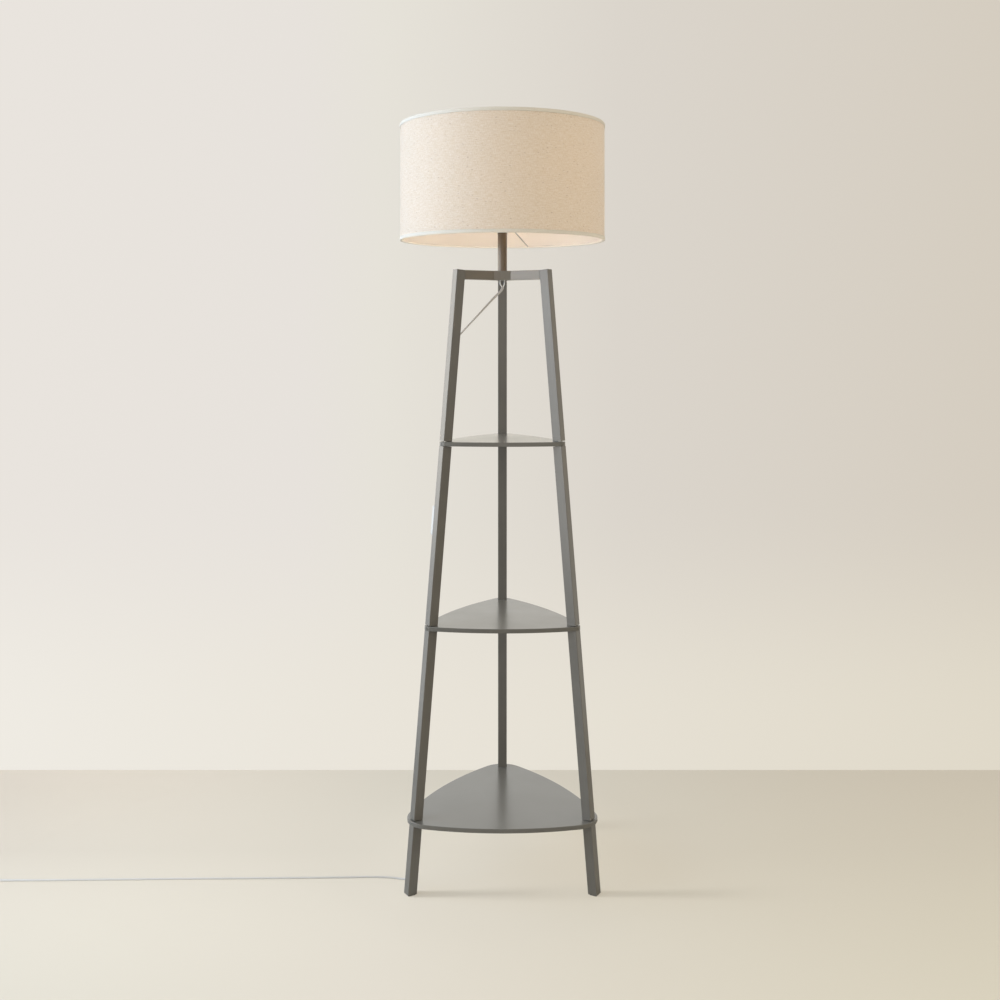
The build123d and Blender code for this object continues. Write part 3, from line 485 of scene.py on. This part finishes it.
feed(painted_grain, out, {
    "Colour": scaled(painted_grain, given["Colour"], calc(painted_grain, "ADD", level, worn_and_highlit_edge)),
    "Roughness": graded(painted_grain, clouds, 0.3, 0.7, 0.30, 0.38),
    "Relief": calc(painted_grain, "ADD", calc(painted_grain, "MULTIPLY", peel, 0.35), fibres),
})

def painted(name, turn, place, half_width=0.01, wear_and_highlight=0.25, colour=enamel):
    """The enamel on one stick, with its grain laid along the stick."""
    made, tree, shader = new_finish(name)
    local = add(tree, "Mapping", {"Vector": own_place(tree), "Location": place, "Rotation": turn},
                vector_type="TEXTURE").outputs[0]
    shared = use_effect(tree, painted_grain, {"Place": local, "Colour": (*colour, 1),
                                              "Half width": half_width, "Edge wear": wear_and_highlight})
    feed(tree, shader, {
        "Base Color": shared["Colour"],
        "Roughness": shared["Roughness"],
        "Normal": raised_by(tree, shared["Relief"], 0.5, 0.00004),
        "Coat Weight": 0.5,
        "Coat Roughness": 0.22,
    })
    return made

for name, azimuth in (("left", 210), ("right", 330), ("back", 90)):
    outward = Vector((math.cos(math.radians(azimuth)), math.sin(math.radians(azimuth)), 0))
    axis = (-outward * math.sin(leg_lean) + upright * math.cos(leg_lean)).normalized()
    across = upright.cross(outward)
    stick = Matrix((across.cross(axis), across, axis)).transposed()
    leg_finish = painted("enamel_leg_" + name, stick.to_euler(), outward * foot_circle)
    for length in ("foot", "lower", "middle", "upper"):
        dress(f"leg_{name}_{length}", leg_finish)
    arm = Matrix((across, upright, outward)).transposed()
    dress("arm_" + name, painted("enamel_painted_warm_arm_" + name, arm.to_euler(), hub_middle, colour=arm_enamel_painted_warm_light))

# ---------------------------------------------------------------------------
# The glides: thin felt-grey nylon pads stuck under the feet.
glide_finish = smooth_finish("glide_nylon", (0.10, 0.095, 0.09), 0.6, drift=0.15, patch=400.0)
for name in ("left", "right", "back"):
    dress("foot_pad_" + name, glide_finish)

# ---------------------------------------------------------------------------
# The hub: a six-sided block in the same enamel, given a slightly warmer tone that
# paints in the warm light from the shade above. Beech dowels, hidden in the
# joints, fasten the arms to it and to the legs.
dress("hub", painted("enamel_hub_painted_warmth", (0, 0, 0), hub_middle, half_width=0.05, wear_and_highlight=0.0,
                     colour=(0.128, 0.113, 0.090)))
dowel_finish = smooth_finish("dowel_beech", (0.52, 0.36, 0.21), 0.6, drift=0.2, patch=120.0)
dress("hub_dowels", dowel_finish)
dress("arm_dowels", dowel_finish)

# ---------------------------------------------------------------------------
# The shelves: three bowed boards, routed and sprayed in the same enamel with a
# fine peel. Studs and threaded inserts join the leg lengths through their corners.
def shelf_finish(name):
    made, tree, shader = new_finish(name)
    shared = mottled(tree, (0.126, 0.117, 0.098), 9.0, 0.05, 600.0)
    feed(tree, shader, {
        "Base Color": shared["Colour"],
        "Roughness": graded(tree, shared["Patches"], 0.3, 0.7, 0.285, 0.365),
        "Normal": raised_by(tree, shared["Relief"], 0.4, 0.00003),
        "Coat Weight": 0.5,
        "Coat Roughness": 0.19,
    })
    return made

stud_finish = smooth_finish("zinc_studs", (0.56, 0.55, 0.50), 0.35, drift=0.15, patch=250.0, Metallic=1.0)
for shelf in ("bottom", "middle", "top"):
    dress(shelf + "_shelf", shelf_finish("enamel_" + shelf + "_shelf"))
    dress(shelf + "_shelf_studs", stud_finish)
    dress(shelf + "_shelf_inserts", stud_finish)

# ---------------------------------------------------------------------------
# The stem: a short steel tube between hub and lampholder, powder coated and glossier,
# its brown tone partly its own and partly painted warm light from the shade above,
# with a thin pressed collar under the lampholder.
# The brown base colour partly paints in the shade's warm light on the tube.
tube_paint_and_painted_warmth = smooth_finish("painted_tube", (0.116, 0.071, 0.032), 0.33, drift=0.05, patch=30.0,
                            relief=800.0, depth=0.00003, spread=0.045, Coat_Weight=0.5, Coat_Roughness=0.12)
dress("stem", tube_paint_and_painted_warmth)
collar = turned("stem_collar", tube_paint_and_painted_warmth, [
    (0.0100, 1.3676), (0.0103, 1.3678), (0.0104, 1.3714), (0.0100, 1.3718),
    (0.0060, 1.3718), (0.0060, 1.3682), (0.0090, 1.3681)])
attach(collar, "stand")

# ---------------------------------------------------------------------------
# The threaded tube and its fastening: plated steel tube through hub and stem,
# clamped by a nut on a washer in the hub's recess.
thread_finish, tree, shader = new_finish("zinc_thread")
turns = add(tree, "TexWave", {"Vector": own_place(tree), "Scale": 314.0},
            bands_direction="Z").outputs["Fac"]
feed(tree, shader, {
    "Base Color": mottled(tree, (0.58, 0.55, 0.46), 200.0, 0.12, 1500.0)["Colour"],
    "Normal": raised_by(tree, turns, 0.8, 0.0004),
    "Metallic": 1.0,
    "Roughness": 0.33,
})
dress("nipple", thread_finish)
dress("nipple_nut", stud_finish)
dress("nipple_washer", stud_finish)

# ---------------------------------------------------------------------------
# The lampholder: a white moulded cap and threaded skirt round a ceramic core,
# with the brass shell and spring contact that the bulb screws down to.
holder_finish = smooth_finish("lampholder_white", (0.74, 0.74, 0.72), 0.36, drift=0.03, patch=30.0,
                              relief=1000.0, depth=0.00004)
brass_finish = smooth_finish("brass", (0.78, 0.58, 0.28), 0.35, drift=0.12, patch=150.0, Metallic=1.0)
holder_cap = turned("lampholder_dome", holder_finish, [
    (0.0062, 1.3719), (0.0126, 1.3719), (0.0134, 1.3723), (0.0138, 1.3732), (0.0139, 1.3760),
    (0.0148, 1.3785), (0.0180, 1.3840), (0.0196, 1.3864), (0.0203, 1.3885), (0.0205, 1.3900),
    (0.0205, 1.3936), (0.0203, 1.3940), (0.0190, 1.3940), (0.0190, 1.3900), (0.0120, 1.3780),
    (0.0062, 1.3760)], parts=72)
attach(holder_cap, "stand")
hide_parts("lampholder_cap")
dress("lampholder_skirt", holder_finish)
dress("lampholder_core", smooth_finish("ceramic_white", (0.80, 0.79, 0.76), 0.45, drift=0.03, patch=60.0))
dress("contact_shell", brass_finish)
dress("centre_contact", brass_finish)

# ---------------------------------------------------------------------------
# The bulb: a frosted white glass globe on a screw cap of drawn aluminium, with
# its black insulator and tin contact at the foot.
globe_middle, globe_radius, glass_thickness = 1.4733, 0.030, 0.0010
neck_top, globe_steps = 1.4465, 24
outside = [(0.0132, 1.4238), (0.0134, 1.4262), (0.0137, 1.4290), (0.0142, 1.4333), (0.0156, 1.4378),
           (0.0177, 1.4420)]
lowest = math.asin(-(globe_middle - neck_top) / globe_radius)
for k in range(globe_steps + 1):
    tilt = lowest + (math.pi / 2 - lowest) * k / globe_steps
    reach = max(globe_radius * math.cos(tilt), 0.00002)
    outside.append((reach, globe_middle + globe_radius * math.sin(tilt)))
crown = globe_middle + 0.02
inside = [(max(r - glass_thickness, 0.00001), z - (glass_thickness if z > crown else 0.0))
          for r, z in reversed(outside)]
frosted, tree, shader = new_finish("frosted_glass")
shared = mottled(tree, (0.86, 0.85, 0.82), 30.0, 0.03, 1600.0)
feed(tree, shader, {
    "Base Color": shared["Colour"],
    "Normal": raised_by(tree, shared["Relief"], 0.3, 0.00003),
    "Roughness": 0.32,
    "Transmission Weight": 0.25,
    "Coat Weight": 0.2,
})
globe = turned("bulb_glass", frosted, outside + inside, parts=72, sharp=50)
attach(globe, "bulb")
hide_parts("bulb_globe")

cap_foot, cap_top, thread_end = 1.4030, 1.4240, 1.4222
cap_radius, thread_height, thread_pitch, thread_fade = 0.01255, 0.00055, 0.0036, 0.002
cap_parts, cap_rows = 72, 66
cap_rings = []
for reach, z in ((0.0088, 1.4009), (0.0092, 1.4010), (0.0112, 1.4019)):
    cap_rings.append([on_circle(reach, angle, z) for angle in angles(cap_parts)])
for row in range(cap_rows + 1):
    z = cap_foot + (cap_top - cap_foot) * row / cap_rows
    fade = max(min(1.0, (z - cap_foot) / thread_fade, (thread_end - z) / thread_fade), 0.0)
    ring = []
    for angle in angles(cap_parts):
        wave = math.cos(2 * math.pi * (z - cap_foot) / thread_pitch - angle)
        ring.append(on_circle(cap_radius + thread_height * wave * fade, angle, z))
    cap_rings.append(ring)
aluminium = smooth_finish("cap_aluminium", (0.72, 0.72, 0.73), 0.35, drift=0.08, patch=120.0, Metallic=1.0)
cap = skin("bulb_screw_cap", aluminium, cap_rings, sharp=60)
black = smooth_finish("insulator_black", (0.03, 0.03, 0.035), 0.2, drift=0.1)
insulator = turned("bulb_insulator", black, [
    (0.0030, 1.3992), (0.0070, 1.4000), (0.0090, 1.4008), (0.0092, 1.4014), (0.0030, 1.4014)], parts=48)
tinned = smooth_finish("tinned_contact", (0.62, 0.61, 0.58), 0.35, drift=0.15, patch=400.0, Metallic=1.0)
contact = turned("bulb_contact", tinned, [
    (0.0001, 1.3984), (0.0022, 1.3984), (0.0034, 1.3990), (0.0036, 1.3996), (0.0001, 1.3998)], parts=36)
for piece in (cap, insulator, contact):
    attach(piece, "bulb")
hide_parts("bulb_cap")

# ---------------------------------------------------------------------------
# The shade: oatmeal linen bonded to a stiff liner, rolled into a drum and lapped
# at the back. Light passes through both, so the inside glows warmer.
shade_bottom, shade_top = 1.3546, 1.6014
drum_radius, drum_wall, drum_inset = 0.2194, 0.0008, 0.00055
lap_at, lap_width, lap_thickness = math.radians(84), 0.012, 0.00045
drum_parts, drum_rows = 216, 40
light_through = 0.215

linen_weave, given, out = new_effect(
    "linen_weave",
    [("Cloth", "Vector", None), ("Colour", "Color", (0.8, 0.7, 0.58, 1)), ("Thread", "Float", 0.00055),
     ("Slubs", "Float", 0.45), ("Flecks", "Float", 0.38), ("Gap shade", "Float", 0.08)],
    [("Colour", "Color"), ("Relief", "Float")])
wobble = scaled(linen_weave, noise(linen_weave, given["Cloth"], 240.0)["Color"], 0.0005)
loose = add(linen_weave, "VectorMath", {0: given["Cloth"], 1: wobble}, operation="ADD").outputs[0]
per_thread = calc(linen_weave, "DIVIDE", math.pi, given["Thread"])
counted = split(linen_weave, scaled(linen_weave, loose, per_thread))
warp = calc(linen_weave, "ABSOLUTE", calc(linen_weave, "SINE", counted["X"]))
weft = calc(linen_weave, "ABSOLUTE", calc(linen_weave, "SINE", counted["Y"]))
threads = calc(linen_weave, "MULTIPLY", warp, weft)

def laid_along(scale):
    return add(linen_weave, "Mapping", {"Vector": given["Cloth"], "Scale": scale}).outputs[0]

thick_weft = noise(linen_weave, laid_along((75.0, 560.0, 1.0)), 1.0, 4.0, 0.65)["Fac"]
thick_warp = noise(linen_weave, laid_along((700.0, 170.0, 1.0)), 1.0, 4.0, 0.65)["Fac"]
slubs = calc(linen_weave, "SUBTRACT", calc(linen_weave, "ADD", thick_weft, thick_warp), 1.0)
slub_level = calc(linen_weave, "MULTIPLY_ADD", slubs, given["Slubs"], 1.0)
clouds = noise(linen_weave, given["Cloth"], 300.0, 5.0, 0.7)["Fac"]
clouds = graded(linen_weave, clouds, 0.3, 0.7, 0.965, 1.035)
gaps = calc(linen_weave, "MULTIPLY", graded(linen_weave, threads, 0.0, 0.35, 1.0, 0.0), given["Gap shade"])
level = calc(linen_weave, "MULTIPLY", slub_level, clouds)
level = calc(linen_weave, "MULTIPLY", level, calc(linen_weave, "SUBTRACT", 1.0, gaps))
off_level = calc(linen_weave, "SUBTRACT", level, 1.0)
# Darker threads are also browner, so blue drifts most and red least.
drift = scaled(linen_weave, (0.78, 1.10, 1.75), off_level)
drift = add(linen_weave, "VectorMath", {0: drift, 1: (1.0, 1.0, 1.0)}, operation="ADD").outputs[0]
woven = add(linen_weave, "VectorMath", {0: given["Colour"], 1: drift}, operation="MULTIPLY").outputs[0]
cells = add(linen_weave, "TexVoronoi", {"Vector": laid_along((105.0, 230.0, 1.0)), "Scale": 1.0,
                                        "Randomness": 1.0}).outputs
fleck = calc(linen_weave, "MULTIPLY", graded(linen_weave, cells["Distance"], 0.12, 0.30, 1.0, 0.0),
             graded(linen_weave, split(linen_weave, cells["Color"])["X"], 0.62, 1.0))
fleck = calc(linen_weave, "MULTIPLY", fleck, given["Flecks"])
feed(linen_weave, out, {
    "Colour": mixed(linen_weave, fleck, woven, (0.36, 0.22, 0.12, 1)),
    "Relief": calc(linen_weave, "ADD", slub_level, threads),
})

def show_blend(tree, share, one, other):
    """Sends a blend of two shaders to the surface."""
    blend = add(tree, "MixShader", {"Fac": share, 1: one.outputs[0], 2: other.outputs[0]})
    feed(tree, next(n for n in tree.nodes if n.type.startswith("OUTPUT")), {"Surface": blend.outputs[0]})

def cloth_place(tree):
    return add(tree, "TexCoord").outputs["UV"]

linen, tree, shader = new_finish("linen")
shared = use_effect(tree, linen_weave, {"Cloth": cloth_place(tree), "Colour": (0.90, 0.775, 0.632, 1)})
relief = raised_by(tree, shared["Relief"], 0.45, 0.00012)
feed(tree, shader, {
    "Base Color": shared["Colour"],
    "Normal": relief,
    "Roughness": 0.85,
    "Sheen Weight": 0.4,
    "Sheen Roughness": 0.45,
})
show_blend(tree, light_through, shader,
           add(tree, "BsdfTranslucent", {"Color": shared["Colour"], "Normal": relief}))

liner, tree, shader = new_finish("liner")
shared = mottled(tree, (0.94, 0.87, 0.79), 12.0, 0.03, 500.0)
feed(tree, shader, {
    "Base Color": shared["Colour"],
    "Normal": raised_by(tree, shared["Relief"], 0.3, 0.00004),
    "Roughness": 0.6,
})
show_blend(tree, light_through, shader, add(tree, "BsdfTranslucent", {"Color": shared["Colour"]}))

def linen_reach(angle, share):
    """The bonded cloth is never quite round: it waves by a few tenths of a millimetre."""
    wave = (0.00022 * math.sin(3 * angle + 0.8) + 0.00014 * math.sin(7 * angle + 2.1 + 1.5 * share)
            + 0.00010 * math.sin(13 * angle - 2.0 * share))
    lap = lap_thickness if 0 <= (angle - lap_at) * drum_radius <= lap_width else 0.0
    return drum_radius - drum_inset + wave * math.sin(math.pi * share) + lap

def liner_reach(angle, share):
    return drum_radius - drum_inset - drum_wall

drum_rings = []
upward = range(drum_rows + 1)
for rows, reach_at in ((upward, linen_reach), (upward[::-1], liner_reach)):
    for row in rows:
        share = row / drum_rows
        height = shade_bottom + (shade_top - shade_bottom) * share
        ring = [on_circle(reach_at(angle, share), angle, height) for angle in angles(drum_parts)]
        drum_rings.append(ring)
drum = skin("linen_drum", linen, drum_rings, joined=True, sharp=60)
drum.data.materials.append(liner)
for polygon in drum.data.polygons:
    if polygon.center.xy.dot(polygon.normal.xy) < -0.1:
        polygon.material_index = 1
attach(drum, "shade")
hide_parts("shade_drum")

# ---------------------------------------------------------------------------
# The trims: white cotton tape folded over the drum's two edges and its rings,
# glued down with 7 mm of it showing outside and a narrow hem on the liner inside.
tape_leg = 0.0073
hem_starts, hem_ends = 0.2170, 0.2150

tape_finish, tree, shader = new_finish("tape")
shared = use_effect(tree, linen_weave, {"Cloth": cloth_place(tree), "Colour": (0.74, 0.675, 0.57, 1),
                                        "Thread": 0.0007, "Slubs": 0.03, "Flecks": 0.0, "Gap shade": 0.03})
spot = split(tree, own_place(tree))
off_axis = calc(tree, "ADD", calc(tree, "MULTIPLY", spot["X"], spot["X"]),
                calc(tree, "MULTIPLY", spot["Y"], spot["Y"]))
hem = graded(tree, calc(tree, "POWER", off_axis, 0.5), hem_ends, hem_starts, 1.0, 0.0)
feed(tree, shader, {
    "Base Color": mixed(tree, hem, shared["Colour"], (0.93, 0.86, 0.76, 1)),
    "Normal": raised_by(tree, shared["Relief"], 0.4, 0.00005),
    "Roughness": 0.8,
})
for name, edge, up, waver_from, hem_leg in (
    ("bottom", 1.3540, 1, 1, 0.0040),
    ("top", 1.6020, -1, 3, 0.0050),
):
    rings = []
    for angle in angles(drum_parts):
        waver = 0.00018 * math.sin(9 * angle + waver_from) + 0.00012 * math.sin(23 * angle)
        outline = [
            (0.21955, tape_leg + waver + 0.0002), (0.21985, tape_leg + waver), (0.22000, tape_leg - 0.0012),
            (0.22002, 0.0030), (0.21990, 0.0010), (0.21950, 0.0002), (0.21850, 0.0), (0.21600, 0.0001),
            (0.21440, 0.0006), (0.21385, 0.0020), (0.21375, hem_leg - 0.0014), (0.21380, hem_leg + waver),
            (0.21405, hem_leg + waver + 0.0002), (0.21440, hem_leg - 0.0010), (0.21445, 0.0022),
            (0.21520, 0.0009), (0.21900, 0.0008), (0.21945, 0.0020), (0.21950, tape_leg - 0.0010),
        ]
        rings.append([on_circle(r, angle, edge + up * z) for r, z in outline])
    tape = skin("shade_tape_" + name, tape_finish, rings, joined=True, sharp=50)
    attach(tape, "shade")
    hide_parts("shade_trim_" + name)

# ---------------------------------------------------------------------------
# The shade's wires: two rings of steel wire inside the tapes, and three spokes
# from the bottom ring up to the fitter that sits on the lampholder.
wire_white = smooth_finish("frame_wire_white", (0.50, 0.47, 0.43), 0.4, drift=0.06, patch=80.0,
                           depth=0.000005)
dress("shade_frame", wire_white)
dress("shade_top_ring", wire_white)

# ---------------------------------------------------------------------------
# The shade's ring nut: a white moulded ring with finger scallops, screwed down
# on the lampholder's skirt to clamp the fitter.
dress("shade_nut", holder_finish)

# ---------------------------------------------------------------------------
# The floor: pale and matt. Most of what the camera sees is a set broad tone, lifted
# under the bottom shelf as painted light that fills in the shelf's shadow, and the
# rest is lit, so that it takes the lamp's shadow.
def plane(name, corners):
    mesh = bpy.data.meshes.new(name)
    mesh.from_pydata(corners, [], [(0, 1, 2, 3)])
    made = bpy.data.objects.new(name, mesh)
    scene.collection.objects.link(made)
    return made

floor_reach = 8
floor_corners = [(-1, -1), (1, -1), (1, 1), (-1, 1)]
floor = plane("floor", [(x * floor_reach, y * floor_reach, 0) for x, y in floor_corners])
floor_finish, tree, shader = new_finish("pale_floor")
spot = split(tree, own_place(tree))
sideways = graded(tree, spot["X"], -1.1, 1.1)
farther = graded(tree, spot["Y"], 0.1, 0.6)
nearer = graded(tree, spot["Y"], 0.1, -0.5)

def colour_ramp(tree, value, stops):
    """Runs through colours, given with their positions from 0 to 1."""
    ramp = add(tree, "ValToRGB", {"Fac": value})
    held = ramp.color_ramp.elements
    for position, tone in stops:
        if position in (0.0, 1.0):
            stop = held[0 if position == 0.0 else -1]
        else:
            stop = held.new(position)
        stop.color = (*tone, 1)
    return ramp.outputs["Color"]

def floor_tones(*rows):
    """Three rows of left, middle and right: by the wall, beside the lamp, near the camera."""
    far, beside, near = (colour_ramp(tree, sideways, ((0.0, left), (1.0, right), (0.40, middle)))
                         for left, middle, right in rows)
    return mixed(tree, nearer, mixed(tree, farther, beside, far), near)

lit_tone = floor_tones(((0.64, 0.61, 0.55), (0.68, 0.65, 0.58), (0.70, 0.64, 0.54)),
                       ((0.67, 0.64, 0.58), (0.70, 0.67, 0.59), (0.71, 0.65, 0.545)),
                       ((0.70, 0.67, 0.61), (0.72, 0.69, 0.61), (0.72, 0.66, 0.55)))
own_tone = floor_tones(((0.72, 0.63, 0.51), (0.555, 0.51, 0.42), (0.53, 0.475, 0.38)),
                       ((0.455, 0.395, 0.305), (0.53, 0.48, 0.397), (0.55, 0.498, 0.395)),
                       ((0.54, 0.505, 0.40), (0.62, 0.56, 0.47), (0.625, 0.575, 0.44)))
looked_at = add(tree, "LightPath").outputs["Is Camera Ray"]
feed(tree, shader, {
    "Base Color": scaled(tree, lit_tone, graded(tree, looked_at, 0.0, 1.0, 0.45, 1.0)),
    "Roughness": 0.9,
})
# A soft lift of the set tone under the bottom shelf: painted light over the shelf's shadow.
under_shelf = (0.0, 0.12, 0.0)
away = add(tree, "VectorMath", {0: own_place(tree), 1: under_shelf}, operation="DISTANCE").outputs["Value"]
painted_lift_under_shelf = graded(tree, away, 0.08, 0.42, 1.16, 1.0, way="SMOOTHSTEP")
own_share = 0.7
show_blend(tree, calc(tree, "MULTIPLY", looked_at, own_share), shader,
           add(tree, "Emission", {"Color": own_tone, "Strength": painted_lift_under_shelf}))
floor.data.materials.append(floor_finish)

# ---------------------------------------------------------------------------
# The wall: pale, lighter at the left and low down. Only the camera, the glass and
# the gloss on the lamp see it. Gloss meets a brighter, cooler window side.
wall_reach, wall_at, wall_top = 5, 0.6, 4
wall = plane("wall", [(-wall_reach, wall_at, 0), (wall_reach, wall_at, 0),
                      (wall_reach, wall_at, wall_top), (-wall_reach, wall_at, wall_top)])
wall_finish = bpy.data.materials.new("pale_wall")
wall_finish.use_nodes = True
tree = wall_finish.node_tree
tree.nodes.clear()
add(tree, "OutputMaterial")
spot = split(tree, own_place(tree))
sideways = graded(tree, spot["X"], -1.33, 1.33)
upper_tone = colour_ramp(tree, sideways, (
    (0.0, (0.815, 0.776, 0.730)), (0.30, (0.799, 0.761, 0.716)), (0.38, (0.791, 0.761, 0.693)),
    (0.62, (0.708, 0.665, 0.604)), (1.0, (0.665, 0.610, 0.527))))
lower_tone = colour_ramp(tree, sideways, (
    (0.0, (0.863, 0.831, 0.768)), (0.38, (0.82, 0.78, 0.70)), (1.0, (0.745, 0.693, 0.584))))
wall_tone = mixed(tree, graded(tree, spot["Z"], 0.12, 0.75, way="SMOOTHSTEP"), lower_tone, upper_tone)
ray = add(tree, "LightPath").outputs
raised = graded(tree, spot["Z"], 0.42, 0.95, way="SMOOTHSTEP")
window_side = calc(tree, "MULTIPLY_ADD", graded(tree, spot["X"], -0.55, -0.95, 0.0, 2.1), raised,
                   graded(tree, spot["X"], 0.35, 0.80, 0.5, 0.0))
gloss_tint = mixed(tree, raised, (0.96, 1.0, 1.06, 1), (1.0, 1.0, 0.98, 1))
in_gloss = mixed(tree, 1.0, wall_tone, gloss_tint, blend_type="MULTIPLY")
glow = add(tree, "Emission", {
    "Color": mixed(tree, ray["Is Glossy Ray"], wall_tone, in_gloss),
    "Strength": calc(tree, "MULTIPLY_ADD", ray["Is Glossy Ray"], window_side, 1.0),
})
seen = calc(tree, "MAXIMUM", ray["Is Camera Ray"], ray["Is Glossy Ray"])
seen = calc(tree, "MAXIMUM", seen, ray["Is Transmission Ray"])
front = calc(tree, "SUBTRACT", 1.0, add(tree, "NewGeometry").outputs["Backfacing"])
show_blend(tree, calc(tree, "MULTIPLY", seen, front), add(tree, "BsdfTransparent"), glow)
wall.data.materials.append(wall_finish)
wall.visible_shadow = False
wall.visible_diffuse = False

# ---------------------------------------------------------------------------
# The light: a large cool window to the left, warmer fill from the front and the
# right, panels at the left that only gloss sees, and a warm even room.
def panel(name, place, aim, width, height, watts, tint, unseen_by=None):
    light = bpy.data.lights.new(name, "AREA")
    light.shape = "RECTANGLE"
    light.size = width
    light.size_y = height
    light.energy = watts
    light.color = tint
    made = bpy.data.objects.new(name, light)
    made.location = place
    made.rotation_euler = (Vector(aim) - Vector(place)).to_track_quat("-Z", "Y").to_euler()
    made.visible_camera = False
    if unseen_by:
        setattr(made, "visible_" + unseen_by, False)
    scene.collection.objects.link(made)
    return made

cool, warm = (0.76, 1.04, 1.46), (1.06, 0.98, 0.84)
panel("window", (-2.6, -0.35, 1.65), (0, 0, 0.95), 2.6, 1.7, 49, cool, "glossy")
panel("window_gloss", (-2.6, -0.2, 2.0), (0, 0, 1.2), 3.0, 1.9, 52, (0.96, 0.99, 1.04), "diffuse")
panel("side_gloss", (-2.2, -1.8, 1.55), (0, 0, 1.2), 1.6, 1.5, 11, (1.0, 0.965, 0.91), "diffuse")
panel("low_gloss", (-2.2, -1.8, 0.42), (0, 0, 0.42), 1.6, 0.75, 9.5, (1.0, 0.99, 0.97), "diffuse")
panel("front_left", (-2.0, -2.0, 1.7), (0, 0, 0.95), 1.6, 1.6, 9.5, (0.90, 1.0, 1.10))
panel("front", (0.5, -3.6, 1.5), (0, 0, 0.8), 2.6, 1.8, 13, warm)
panel("right", (2.6, -0.4, 1.3), (0, 0, 0.9), 2.2, 1.8, 15, warm, "glossy")

def only(name, pieces):
    made = bpy.data.collections.new(name)
    for piece in pieces:
        made.objects.link(piece)
    return made

# A low, narrow beam draws the feet's shadows on the floor and lights nothing else.
feet_light = panel("feet_light", (-2.4, -0.08, 1.18), (0, -0.08, 0.0), 0.45, 0.7, 11, (1, 1, 1))
feet_light.data.spread = math.radians(60)
feet_light.light_linking.receiver_collection = only("floor_only", [floor])
feet_light.light_linking.blocker_collection = only(
    "feet_only", [lamp[f"leg_{name}_foot"] for name in ("left", "right", "back")])

# Light that the floor throws back up into the shade.
floor_bounce = panel("floor_bounce", (0, 0, 0.02), (0, 0.001, 1.3), 1.5, 1.5, 8.2, (1.03, 1.0, 0.94),
                     "glossy")
shade_pieces = [bpy.data.objects[name] for name in ("linen_drum", "shade_tape_bottom", "shade_tape_top")]
floor_bounce.light_linking.receiver_collection = only("shade_only", shade_pieces + [lamp["shade_frame"]])

# The bulb's own glow, a little wider than its globe.
inner = bpy.data.lights.new("shade_glow", "POINT")
inner.energy = 4.2
inner.color = (1.12, 0.98, 0.84)
inner.shadow_soft_size = 0.034
glow_at = bpy.data.objects.new("shade_glow", inner)
glow_at.location = (0, 0, globe_middle)
glow_at.visible_camera = False
scene.collection.objects.link(glow_at)
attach(glow_at, "bulb")

world = bpy.data.worlds.new("room")
scene.world = world
world.use_nodes = True
tree = world.node_tree
tree.nodes.clear()
add(tree, "OutputWorld")
ray = add(tree, "LightPath").outputs
show_blend(tree, calc(tree, "MAXIMUM", ray["Is Camera Ray"], ray["Is Transmission Ray"]),
           add(tree, "Background", {"Color": (1.03, 0.99, 0.91, 1), "Strength": 0.64}),
           add(tree, "Background", {"Color": (0.76, 0.72, 0.66, 1), "Strength": 1.0}))
